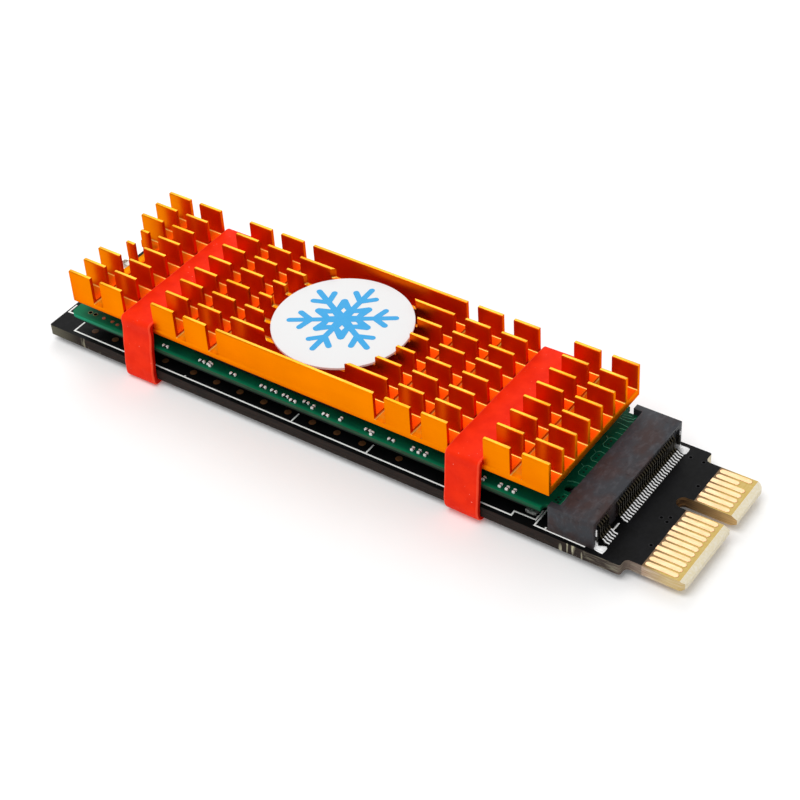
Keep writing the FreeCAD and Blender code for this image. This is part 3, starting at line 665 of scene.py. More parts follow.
@dataclass(frozen=True)
class Finishes:
    """Every finish on the card, made once."""

    # bright dyed anodising over extruded aluminium gives a warm satin sheen
    heatsink: Finish = AnodisedAluminium("orange_anodised_aluminium", "#FA8A00", 0.42, 1.0,
                                         tint="#FFA020", second="#F28400")
    # painted shade: the fins' flanks, shaded by the next fins and lit by light bounced between
    # them, get a deep red copy of the same dye
    heatsink_flanks: Finish = AnodisedAluminium("orange_anodised_flanks", "#E65C00", 0.38, 1.0,
                                                tint="#E65C00", second="#DC5200",
                                                # painted light: lighter toward the open left end
                                                end_fins="#F4900C")
    # painted light: floors of the grooves face the light, so they get a brighter orange copy of
    # the dye; painted reflection: the open outer bays get their own orange
    heatsink_floors: Finish = AnodisedAluminium("orange_anodised_floors", "#EA9118", 0.45, 1.0,
                                                tint="#F09818", second="#E48612",
                                                lit_outer_bay="#F28206")
    # painted highlight: their rounded feet catch the light, so they get a pale copy of the dye
    heatsink_feet: Finish = AnodisedAluminium("orange_anodised_feet", "#F4C060", 0.4, 1.0,
                                              tint="#FFC868", second="#F0B450")
    # painted highlight: the crests catch the top light, so they get a golden copy of the dye
    heatsink_crests: Finish = AnodisedAluminium("orange_anodised_crests", "#FFCE58", 0.5, 1.0,
                                                tint="#FFD060", second="#FFB430")
    # matt black mask: nearly black, a soft gloss at low angles
    black_mask: Finish = SolderMask("black_solder_mask", "#090909", 0.45, 0.0, 1.5, 0.07,
                                    second="#0E0E10")
    # glossy green mask over copper: deep where the copper lies below, brighter past its edge
    green_mask: Finish = SolderMask("green_solder_mask", "#075C40", 0.4, 0.0, 1.5, 0.04,
                                    second="#064A34", border="#0C6E4A")
    # same lacquer over a raised track looks paler
    green_track: Finish = SolderMask("green_mask_over_copper", "#2F8C68", 0.3, 0.0, 1.5, 0.4,
                                     second="#4AA580")
    # hollow of a filled hole, where the lacquer is thickest
    green_hollow: Finish = SolderMask("green_mask_in_hollow", "#02281A", 0.4, 0.0, 1.5, 0.2,
                                      second="#01160E")
    black_edge: Finish = LaminateEdge("routed_laminate_edge", "#2C211B", 0.75, specular=0.2)
    # painted light and shade on the drive's edge: brighter green toward the left end, dark to
    # near black toward the socket end, and a near-black foot for the shadow under the edge
    green_edge: Finish = LaminateEdge("routed_drive_edge", "#34553E", 0.6, specular=0.1,
                                      dark="#22422E", pale="#6E9A80",
                                      frays=(), foot=(5.5, 5.2, "#050D09"),
                                      ends=((-34.0, -43.5, "#17906A"), (24.0, 30.0, "#0A5A3C"),
                                            (31.0, 33.0, "#031A10")),
                                      streaked_from=60.0)
    tongue: Finish = BareLaminate("bare_glass_epoxy", "#C8A850", 0.4, specular=0.3)
    # lead-in milled across the cloth
    lead_in: Finish = MilledLaminate("milled_glass_epoxy", "#E8DCBC", 0.8, specular=0.2,
                                      torn_size=0.3, torn_share=0.75)
    # side of the tongue, routed along the cloth, so its layers lie in line
    tongue_side: Finish = MilledLaminate("routed_glass_epoxy", "#CFB274", 0.7, specular=0.2,
                                         torn="#E8DAC0", torn_size=0.6, torn_share=0.6,
                                         layer_stretch=(0.3, 1.0, 4.0), blush="#A08070",
                                         blush_from=47.4, blush_to=43.6)
    # walls of the key slot; painted shade: they darken to near black toward the slot's inner end
    key_wall: Finish = MilledLaminate("routed_key_slot", "#DDB87C", 0.8, specular=0.1,
                                      torn="#8E6A42", torn_size=0.7, torn_share=0.7,
                                      layer_stretch=(0.3, 1.0, 3.0), blush="#2A1C12",
                                      blush_from=49.2, blush_to=42.8)
    gold: Finish = GoldPlate("hard_gold_plate", "#DFB286", 0.35, 1.0)
    contact: Finish = SpringContact("tinned_spring_contact", "#F4F2EE", 0.35, 1.0)
    tin: Finish = SolderMetal("reflowed_tin_solder", "#FFFFFF", 0.4, 0.0)
    # painted shade: the sides of the pins' tails are coloured near black for the shade between
    # them
    bare_side: Finish = Finish("sheared_copper_alloy", "#1E1C18", 0.5, 0.3)
    # stamped lock: white where the solder wets its foot, nearly black above z 3.2
    lock: Finish = SpringContact("dull_stamped_steel", "#FFFFFF", 0.45, 0.0, stem="#26241F",
                                 change_height=3.2)
    # tin baked matt grey on ceramic parts
    dull_tin: Finish = SolderMetal("matt_tin_cap", "#9C9E9A", 0.5, 0.6)
    # gold flash under a blob of flux, reddish and dark at its rim
    flux_dot: Finish = Finish("fluxed_copper_dot", "#A85A3C", 0.35, 0.3)
    socket: Finish = MouldedPlastic("moulded_lcp", "#33353A", 0.55, 0.0, 1.6, 0.18)
    band: Finish = SiliconeRubber("red_silicone_rubber", "#FA300A", 0.55, 0.0, 1.41, 0.08)
    # painted highlight: the band's rounded rims get a paler red for the light they reflect;
    # painted shade: its sides get a darker red
    band_rim: Finish = SiliconeRubber("red_silicone_rim", "#FF4A2A", 0.5, 0.0, 1.41, 0.15,
                                      shade="#FF4020")
    band_side: Finish = SiliconeRubber("red_silicone_cut_side", "#D81400", 0.6, 0.0, 1.41, 0.05,
                                       shade="#B80E00")
    label: Finish = CoatedLabel("white_vinyl_label", "#FFFFFF", 0.5, specular=0.6)
    label_ink: Finish = CoatedLabel("blue_label_ink", "#2AA0DC", 0.4, specular=0.2)
    # cut edge of the label, in the shade of the fins
    label_edge: Finish = Finish("label_cut_edge", "#5A4034", 0.7)
    # screen-printed epoxy ink on the board
    board_ink: Finish = Finish("white_epoxy_ink", "#FFFFFC", 0.6)
    # painted shade: the capacitors' bodies are coloured near black so they sink into the shade
    # under the heatsink, leaving only their tinned caps bright
    ceramic: Finish = Finish("fired_ceramic", "#241C16", 0.5)
    resistor_body: Finish = Finish("glazed_resistor", "#141414", 0.35)
    grey_ceramic: Finish = Finish("grey_ceramic", "#989C98", 0.5, specular=0.3)
    epoxy: Finish = Finish("moulded_chip_epoxy", "#17181A", 0.6)
    gap_pad: Finish = Finish("silicone_gap_pad", "#7F8C9A", 0.8)
    nickel: Finish = SolderMetal("nickel_plated_steel", "#E8E2DA", 0.35, 1.0)
    copper_via: Finish = Finish("mask_filled_via", "#6A4428", 0.45, specular=0.2)
    # ring of mask over the copper round a hole; painted shade: a black disc stands for the shade
    # inside the hole
    via_ring: Finish = Finish("masked_via_ring", "#1C1C1E", 0.5, specular=0.1)
    dark_pad: Finish = Finish("open_hole", "#030303", 0.9, specular=0.0)
    pad_rim: Finish = Finish("stained_copper_rim", "#6E6838", 0.5, 0.3)

    @staticmethod
    def make_all() -> dict[str, bpy.types.Material]:
        """Build each finish and give them by field name."""
        return {key: getattr(Finishes, key).build() for key in Finishes.__dataclass_fields__}


MATERIALS: dict[str, bpy.types.Material] = Finishes.make_all()


# --- Geometry Nodes ------------------------------------------------------------------
@dataclass
class NodeTool:
    """A Geometry Nodes tree with named inputs, used on several pieces.

    Attributes:
        name: Name of the tree.
        inputs: Name and measure of each input after the geometry.
        grow: Fills the tree: takes it and its group input, and gives the geometry to finish.
    """

    name: str
    inputs: dict[str, Measure]
    grow: Callable[[bpy.types.NodeTree, bpy.types.Node], bpy.types.NodeSocket]
    tree: bpy.types.NodeTree | None = None

    def build(self) -> None:
        """Make the tree: its own nodes, then Realize Instances and Set Material."""
        tree = bpy.data.node_groups.new(self.name, "GeometryNodeTree")
        tree.interface.new_socket("Geometry", in_out="INPUT", socket_type="NodeSocketGeometry")
        for name, measure in self.inputs.items():
            tree.interface.new_socket(name, in_out="INPUT", socket_type=measure.value[0])
        tree.interface.new_socket("Finish", in_out="INPUT", socket_type="NodeSocketMaterial")
        tree.interface.new_socket("Geometry", in_out="OUTPUT", socket_type="NodeSocketGeometry")
        start = add_node(tree, "NodeGroupInput")
        grown = self.grow(tree, start)
        real = add_node(tree, "GeometryNodeRealizeInstances", links={"Geometry": grown})
        done = add_node(tree, "GeometryNodeSetMaterial",
                        links={"Geometry": real.outputs["Geometry"],
                               "Material": start.outputs["Finish"]})
        add_node(tree, "NodeGroupOutput", links={"Geometry": done.outputs["Geometry"]})
        self.tree = tree

    def apply(self, carrier: bpy.types.Object, finish: str, **sizes: object
              ) -> bpy.types.Object:
        """Grow the tree's shape on a carrier and keep the result as a plain mesh.

        Args:
            carrier: Object whose points or edges the shape is grown on.
            finish: Field name of the finish.
            **sizes: Input name, with _ for a space, to value; lengths in millimetres.

        Returns:
            The carrier, with its new mesh.
        """
        if self.tree is None:
            self.build()
        modifier = carrier.modifiers.new(self.name, "NODES")
        modifier.node_group = self.tree
        for item in self.tree.interface.items_tree:
            if item.in_out != "INPUT" or item.name == "Geometry":
                continue
            if item.name == "Finish":
                modifier[item.identifier] = MATERIALS[finish]
            else:
                unit = self.inputs[item.name].value[1]
                modifier[item.identifier] = sizes[item.name.lower().replace(" ", "_")] * unit
        return bake_modifiers(carrier)


def grow_plates(tree: bpy.types.NodeTree, start: bpy.types.Node) -> bpy.types.NodeSocket:
    """A closed plate with rounded corners and a chamfered top, on every point.

    Args:
        tree: The tree to fill.
        start: Its group input.

    Returns:
        The instances.
    """
    size = start.outputs
    outline = add_node(tree, "GeometryNodeCurvePrimitiveQuadrilateral",
                       links={"Width": size["Length"], "Height": size["Width"]})
    rounded = add_node(tree, "GeometryNodeFilletCurve", {"Limit Radius": True},
                       {"Curve": outline.outputs["Curve"], "Radius": size["Corner Radius"],
                        "Count": size["Corner Steps"]}, mode="POLY")
    base = add_node(tree, "GeometryNodeFillCurve", links={"Curve": rounded.outputs["Curve"]},
                    mode="NGONS")
    up = add_node(tree, "ShaderNodeCombineXYZ", {"Z": 1.0})
    wall = add_node(tree, "ShaderNodeMath", links={0: size["Thickness"], 1: size["Chamfer"]},
                    operation="SUBTRACT")
    body = add_node(tree, "GeometryNodeExtrudeMesh", {"Individual": False},
                    {"Mesh": base.outputs["Mesh"], "Offset": up.outputs["Vector"],
                     "Offset Scale": wall.outputs[0]}, mode="FACES")
    cap = add_node(tree, "GeometryNodeExtrudeMesh", {"Individual": False},
                   {"Mesh": body.outputs["Mesh"], "Selection": body.outputs["Top"],
                    "Offset": up.outputs["Vector"], "Offset Scale": size["Chamfer"]},
                   mode="FACES")
    inset = add_node(tree, "GeometryNodeScaleElements",
                     links={"Geometry": cap.outputs["Mesh"], "Selection": cap.outputs["Top"],
                            "Scale": size["Top Share"]}, domain="FACE", scale_mode="UNIFORM")
    floor = add_node(tree, "GeometryNodeFlipFaces", links={"Mesh": base.outputs["Mesh"]})
    joined = add_node(tree, "GeometryNodeJoinGeometry")
    tree.links.new(inset.outputs["Geometry"], joined.inputs["Geometry"])
    tree.links.new(floor.outputs["Mesh"], joined.inputs["Geometry"])
    closed = add_node(tree, "GeometryNodeMergeByDistance", {"Distance": 0.0005 * MM},
                      {"Geometry": joined.outputs["Geometry"]})
    return add_node(tree, "GeometryNodeInstanceOnPoints",
                    links={"Points": size["Geometry"],
                           "Instance": closed.outputs["Geometry"]}).outputs["Instances"]


def grow_strips(tree: bpy.types.NodeTree, start: bpy.types.Node) -> bpy.types.NodeSocket:
    """A flat bar along every edge of the carrier.

    Args:
        tree: The tree to fill.
        start: Its group input.

    Returns:
        The bars.
    """
    size = start.outputs
    line = add_node(tree, "GeometryNodeMeshToCurve", links={"Mesh": size["Geometry"]})
    level = add_node(tree, "GeometryNodeSetCurveNormal", links={"Curve": line.outputs["Curve"]},
                     mode="Z_UP")
    section = add_node(tree, "GeometryNodeCurvePrimitiveQuadrilateral",
                       links={"Width": size["Width"], "Height": size["Thickness"]})
    return add_node(tree, "GeometryNodeCurveToMesh", {"Fill Caps": True},
                    {"Curve": level.outputs["Curve"],
                     "Profile Curve": section.outputs["Curve"]}).outputs["Mesh"]


PLATES = NodeTool("plated_parts", {
    "Length": Measure.LENGTH, "Width": Measure.LENGTH, "Thickness": Measure.LENGTH,
    "Corner Radius": Measure.LENGTH, "Chamfer": Measure.LENGTH,
    "Corner Steps": Measure.COUNT, "Top Share": Measure.SHARE}, grow_plates)
STRIPS = NodeTool("ink_and_tracks", {
    "Width": Measure.LENGTH, "Thickness": Measure.LENGTH}, grow_strips)


def plates(name: str, finish: str, places: Sequence[Sequence[float]], length: float,
           width: float, thickness: float, corner: float, chamfer: float = 0.01,
           steps: int = 4, top_share: float = 0.96) -> bpy.types.Object:
    """Lay one kind of plate at many places.

    Args:
        name: Name of the piece.
        finish: Field name of the finish.
        places: Middle of each plate's underside, in millimetres.
        length: Size along X.
        width: Size along Y.
        thickness: Height.
        corner: Plan radius of the corners.
        chamfer: Height of the sloping rim at the top.
        steps: Faces round each corner.
        top_share: Size of the flat top as a share of the plate.

    Returns:
        The piece.
    """
    return PLATES.apply(mesh_piece(name, places, ()), finish, length=length, width=width,
                        thickness=thickness, corner_radius=corner, chamfer=chamfer,
                        corner_steps=steps, top_share=top_share)


def spots(name: str, finish: str, places: Sequence[Sequence[float]], across: float,
          thickness: float, chamfer: float, steps: int, top_share: float) -> bpy.types.Object:
    """Lay one kind of round plate at many places.

    Args:
        name: Name of the piece.
        finish: Field name of the finish.
        places: Middle of each plate's underside, in millimetres.
        across: Diameter.
        thickness: Height.
        chamfer: Height of the sloping rim at the top.
        steps: Faces round each quarter.
        top_share: Size of the flat top as a share of the plate.

    Returns:
        The piece.
    """
    return plates(name, finish, places, across, across, thickness, across / 2, chamfer, steps,
                  top_share)


def strokes(name: str, finish: str, lines: Sequence[Sequence[Point]], z: float, width: float,
            thickness: float = 0.02) -> bpy.types.Object:
    """Draw thin flat lines on a level face, a bar for each run, square at the corners.

    Args:
        name: Name of the piece.
        finish: Field name of the finish.
        lines: Plan points of each line, in millimetres.
        z: Height of the face.
        width: Width of a line.
        thickness: Thickness of the ink or copper.

    Returns:
        The piece.
    """
    points: list[Point3] = []
    edges: list[tuple[int, int]] = []
    for line in lines:
        for i, (a, b) in enumerate(zip(line, line[1:])):
            start, end = Vector(a), Vector(b)
            reach = (end - start).normalized() * width / 2
            level = z + thickness / 2 + 0.002 * (i % 2)
            edges.append((len(points), len(points) + 1))
            points += [(*(start - reach), level), (*(end + reach), level)]
    return STRIPS.apply(mesh_piece(name, points, (), edges=edges), finish, width=width,
                        thickness=thickness)


def round_some(bm: bmesh.types.BMesh, edges: Sequence[bmesh.types.BMEdge], width: float,
               finish: int) -> None:
    """Round chosen edges of an open mesh.

    Args:
        bm: The mesh.
        edges: The edges.
        width: Width of the rounding, in millimetres.
        finish: Index of the rounded faces' finish.
    """
    bmesh.ops.bevel(bm, geom=edges, offset=width * MM, segments=2, profile=0.5,
                    affect="EDGES", clamp_overlap=True, material=finish)


def add_finishes(piece: bpy.types.Object, *finishes: str) -> None:
    """Give a piece further finishes, by field name; its faces choose by index."""
    for finish in finishes:
        piece.data.materials.append(MATERIALS[finish])


def middle_of(corners: tuple[Vector, Vector]) -> Point3:
    """Middle of a box's underside."""
    a, b = corners
    return (a.x + b.x) / 2, (a.y + b.y) / 2, a.z


def solid_boxes(node: str) -> list[tuple[Vector, Vector]]:
    """Find the separate solids of a CAD node.

    Args:
        node: Name of the CAD node.

    Returns:
        Lowest and highest corner of each solid in millimetres, in order of X, then Y.
    """
    bm = bmesh.new()
    bm.from_mesh(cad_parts[node].data)
    bmesh.ops.remove_doubles(bm, verts=bm.verts, dist=0.001 * MM)
    left, found = set(bm.verts), []
    while left:
        reached, waiting = set(), [left.pop()]
        while waiting:
            vert = waiting.pop()
            reached.add(vert)
            near = {e.other_vert(vert) for e in vert.link_edges} & left
            left -= near
            waiting += near
        places = [v.co / MM for v in reached]
        found.append((Vector([min(c) for c in zip(*places)]),
                      Vector([max(c) for c in zip(*places)])))
    bm.free()
    return sorted(found, key=lambda pair: (round(pair[0].x, 2), pair[0].y))


def polished_node(node: str, name: str, finish: str, rounding: float
                  ) -> bpy.types.Object:
    """Dress a simple CAD node: its own shape with softened edges.

    Args:
        node: The CAD node, which the piece stands for.
        name: Name of the piece.
        finish: Field name of the finish.
        rounding: Width of the softened edges, in millimetres.

    Returns:
        The piece.
    """
    piece = merged_copy(node, name)
    add_finishes(piece, finish)
    return settle(smooth(soften_edges(piece, rounding)), [node])


# --- the card's sub-assemblies ---------------------------------------------------------
@dataclass
class AdapterBoard:
    """Black board: masked faces, routed edges, the bare tongue and what is printed on it."""

    mask_end: float = 43.8
    key_start: float = 40.5
    key_middle: float = 1.86
    key_half: float = 1.2
    rounding: float = 0.05
    ink_width: float = 0.23
    via_radius: float = 0.24
    covered_via: float = 1.0
    covered_row_y: float = -9.55
    vias: tuple[Point, ...] = ((42.8, -1.3), (42.8, -2.2), (41.84, -1.86), (43.1, -6.7),
                               (39.7, 9.65), (41.55, 9.64), (43.0, 5.4))
    row_starts: tuple[float, ...] = (-43.1, -39.4, -30.4, 8.3)
    row_first: float = -25.45
    row_pitch: float = 4.0
    row_count: int = 8
    faces: tuple[str, ...] = ("black_mask", "tongue", "lead_in", "black_edge", "tongue_side",
                              "key_wall")
    lead_in_from: Point = (41.3, 10.0)
    level: float = 0.95
    upright: float = 0.7
    facing_back: float = -0.5

    def build(self) -> None:
        """Make the board, its vias and its printed lines."""
        self.top = high("adapter_board").z
        settle(self.dress(), ["adapter_board"])
        settle(self.printed_lines())
        settle(self.small_vias("via_rings", "via_ring", self.via_radius * 1.35, 0.015))
        # painted shade: a black disc in each hole
        settle(self.small_vias("via_holes", "dark_pad", self.via_radius * 0.85, 0.03))
        settle(self.covered_vias())

    def dress(self) -> bpy.types.Object:
        """Give each face of the board the finish of its process."""
        piece = merged_copy("adapter_board", "board")
        add_finishes(piece, *self.faces)
        with editing(piece.data) as bm:
            bmesh.ops.bisect_plane(bm, geom=bm.verts[:] + bm.edges[:] + bm.faces[:],
                                   plane_co=(self.mask_end * MM, 0, 0), plane_no=(1, 0, 0))
            for face in bm.faces:
                finish = self.finish_of(face.calc_center_median() / MM, face.normal)
                face.material_index = self.faces.index(finish)
        return soften_edges(piece, self.rounding)

    def finish_of(self, middle: Vector, normal: Vector) -> str:
        """Which of the board's finishes a face has.

        Args:
            middle: Middle of the face, in millimetres.
            normal: Its direction.

        Returns:
            Field name of the finish.
        """
        beyond = middle.x > self.mask_end
        if abs(normal.z) > self.level:
            return "tongue" if beyond else "black_mask"
        if middle.x > self.key_start and abs(middle.y - self.key_middle) < self.key_half:
            return "key_wall"
        if beyond:
            return "tongue_side" if abs(normal.y) > self.upright else "lead_in"
        x, y = self.lead_in_from
        shoulder = middle.y > y and middle.x > x and normal.x > self.facing_back
        return "lead_in" if shoulder else "black_edge"

    def printed_lines(self) -> bpy.types.Object:
        """White outline of the drive's place and of the socket, with its length marks."""
        near = -10.95
        lines = [
            [(-45.7, -8.9), (-45.7, near), (26.0, near), (25.95, -10.15), (29.0, -10.1),
             (28.95, -8.3)],
            [(-25.96, near), (-25.96, near + 0.2)],
            [(-7.96, near), (-7.96, -9.2)],
            [(4.04, near), (4.04, -9.2)],
            [(29.3, -7.9), (29.35, -11.0), (36.4, -11.05)],
            [(30.8, -11.0), (30.8, -10.7)],
            [(34.25, -11.0), (34.25, -10.7)],
            [(37.93, -6.85), (37.95, -5.47)],
            [(-49.34, -6.49), (-49.31, -8.11), (-48.08, -8.05)],
        ]
        return strokes("printed_lines", "board_ink", lines, self.top, self.ink_width)

    def small_vias(self, name: str, finish: str, radius: float, rise: float
                   ) -> bpy.types.Object:
        """Round spots at the plated holes.

        Args:
            name: Name of the piece.
            finish: Field name of the finish.
            radius: Radius of a spot, in millimetres.
            rise: Its thickness.

        Returns:
            The piece.
        """
        return spots(name, finish, [(x, y, self.top) for x, y in self.vias], 2 * radius, rise,
                     rise * 0.6, 4, 0.85)

    def covered_vias(self) -> bpy.types.Object:
        """Row of mask-filled holes beside the drive."""
        xs = list(self.row_starts) + [self.row_first + i * self.row_pitch
                                      for i in range(self.row_count)]
        places = [(x, self.covered_row_y, self.top) for x in xs]
        return spots("covered_vias", "copper_via", places, self.covered_via, 0.02, 0.015, 5,
                     0.8)


@dataclass
class EdgeContacts:
    """Gold contacts of the card edge, some of them with the track that enters them."""

    pad_thickness: float = 0.05
    pad_chamfer: float = 0.012
    pad_top: float = 0.97
    shortened_by: float = 0.1
    stub_length: float = 0.9
    stub_reach: float = 0.2
    tracked_pins: tuple[int, ...] = (4, 7, 8, 13, 15, 16)

    def build(self) -> None:
        """Make the upper contacts and finish the lower ones."""
        boxes = sorted(solid_boxes("edge_contacts_top"), key=lambda pair: pair[0].y)
        longest = max(b.x - a.x for a, b in boxes)
        width = boxes[0][1].y - boxes[0][0].y
        for name, short in (("edge_pads_long", False), ("edge_pads_short", True)):
            group = [(a, b) for a, b in boxes
                     if (b.x - a.x < longest - self.shortened_by) == short]
            a, b = group[0]
            pads = plates(name, "gold", [middle_of(pair) for pair in group], b.x - a.x,
                          b.y - a.y, self.pad_thickness, (b.y - a.y) / 2, self.pad_chamfer, 7,
                          self.pad_top)
            settle(pads, () if short else ["edge_contacts_top"])
        x = low("edge_contacts_top").x + self.stub_length / 2 - self.stub_reach
        stubs = [(x, middle_of(boxes[pin - 1])[1], boxes[0][0].z) for pin in self.tracked_pins]
        settle(plates("edge_pad_tracks", "gold", stubs, self.stub_length, width,
                      self.pad_thickness - 0.002, 0.05, 0.01, 2, self.pad_top))
        paint_node("edge_contacts_bottom", "gold")


def paint_node(node: str, finish: str) -> None:
    """Give a CAD node, kept as it is, a finish.

    Args:
        node: Name of the CAD node.
        finish: Field name of the finish.
    """
    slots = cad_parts[node].data.materials
    slots.clear()
    slots.append(MATERIALS[finish])
    log.info("%s: finished as %s", node, finish)


@dataclass
class Socket:
    """M.2 socket: the moulded housing, its contacts, locks and solder."""

    rounding: float = 0.07
    tail_width: float = 0.25
    tail_stock: float = 0.2
    tail_line: tuple[Point, ...] = ((-1.02, 0.44), (-0.68, 0.3), (-0.46, 0.04), (0.02, 0.0))
    pool: tuple[Point, ...] = ((37.5, 10.85), (37.66, 10.15), (38.15, 9.85), (38.7, 9.68),
                               (38.93, 9.95), (38.95, 10.5), (38.85, 11.05), (38.2, 11.0))
    pool_climb: Point = (37.6, 1.1)
    pool_height: float = 0.34
    lock_y: float = 10.45
    # plan and height span of the painted highlight strip on each lock's edge
    lock_edge: tuple[float, float, float, float] = (37.6, 37.78, 4.45, 5.45)
    lock_edge_width: float = 0.12

    def build(self) -> None:
        """Make the housing and the solder, and finish the metal."""
        polished_node("socket_housing", "socket_body", "socket",
                      self.rounding)
        for node in ("socket_contacts_upper", "socket_contacts_lower"):
            paint_node(node, "contact")
        paint_node("socket_board_locks", "lock")
        settle(self.wetted_tails())
        self.lock_solder()

    def wetted_tails(self) -> bpy.types.Object:
        """The bent tail of every rear contact, thickened by the solder that wets it."""
        upper = [(x, z + self.tail_stock) for x, z in self.tail_line]
        outline = list(self.tail_line) + upper[::-1]
        count, half = len(outline), self.tail_width / 2
        points: list[Point3] = []
        faces: list[tuple[int, ...]] = []
        for a, b in solid_boxes("socket_contacts_upper"):
            y, start = (a.y + b.y) / 2, len(points)
            for side in (-half, half):
                points += [(b.x + x, y + side, a.z + z) for x, z in outline]
            faces += ring_quads(start, start + count, count)
            faces.append(tuple(reversed(range(start, start + count))))
            faces.append(tuple(range(start + count, start + 2 * count)))
        piece = outward(mesh_piece("wetted_tails", points, faces, MATERIALS["tin"]))
        add_finishes(piece, "bare_side")
        # painted shade: the tails' sides take the near-black finish
        for face in piece.data.polygons:
            face.material_index = int(abs(face.normal.y) > FACING)
        return smooth(soften_edges(piece, self.tail_stock * 0.25))

    def lock_solder(self) -> None:
        """A painted highlight, a thin strip of tin along the edge of each board lock, and the
        solder that climbs its foot.
        """
        x0, x1, z0, z1 = self.lock_edge
        climb_x, climb_z = self.pool_climb
        board = low("socket_board_locks").z
        for side in Side:
            name, y = side.name.lower(), self.lock_y * side.value
            # painted highlight: a thin bright strip stands for the glint on the lock's edge
            edge = plates(f"lock_edge_{name}", "tin", [((x0 + x1) / 2, y, z0)], x1 - x0,
                          self.lock_edge_width, z1 - z0, 0.03, 0.02, 2, 0.9)
            settle(edge)
            outline = [Vector((x, py * side.value, board)) for x, py in self.pool]
            pool = solder_pool(f"lock_solder_{name}", outline[::side.value],
                               Vector((climb_x, y, board + climb_z)), self.pool_height)
            settle(pool)


SQUARE = ((-1, -1), (1, -1), (1, 1), (-1, 1))
SPIKE = ((0.0, 0.24), (0.35, 0.13), (0.7, 0.08), (1.0, 0.04))   # share of its height, half width
POOL_RINGS = 5
SPIKE_FOOT = 0.75        # how far from the mound's middle towards the pin the spike stands


def solder_pool(name: str, outline: Sequence[Vector], climb: Vector, height: float
                ) -> bpy.types.Object:
    """An uneven mound of reflowed solder with a spike where it climbs a pin.

    Args:
        name: Name of the piece.
        outline: Its edge on the board, in millimetres.
        climb: Tip of the spike.
        height: Height of the mound.

    Returns:
        The piece.
    """
    count = len(outline)
    middle = sum(outline, Vector()) / count
    points: list[Vector] = []
    for ring in range(POOL_RINGS):
        share = ring / POOL_RINGS
        rise = Vector((0, 0, height * (1 - (1 - share) ** 2)))
        points += [corner.lerp(middle, share) + rise for corner in outline]
    top = len(points)
    points.append(middle + Vector((0, 0, height)))
    faces: list[tuple[int, ...]] = [tuple(range(count))]
    for ring in range(POOL_RINGS - 1):
        faces += ring_quads(ring * count, (ring + 1) * count, count)
    start = (POOL_RINGS - 1) * count
    faces += [(start + i, start + (i + 1) % count, top) for i in range(count)]
    foot = middle.lerp(Vector((climb.x, climb.y, middle.z)), SPIKE_FOOT)
    base, sides = len(points), len(SQUARE)
    for share, half in SPIKE:
        points += [foot.lerp(climb, share) + Vector((half * x, half * y, 0)) for x, y in SQUARE]
    tip = base + sides * (len(SPIKE) - 1)
    faces += [tuple(range(ring, ring + sides)) for ring in (base, tip)]
    for ring in range(base, tip, sides):
        faces += ring_quads(ring, ring + sides, sides)
    return smooth(outward(mesh_piece(name, points, faces, MATERIALS["tin"])), 80)


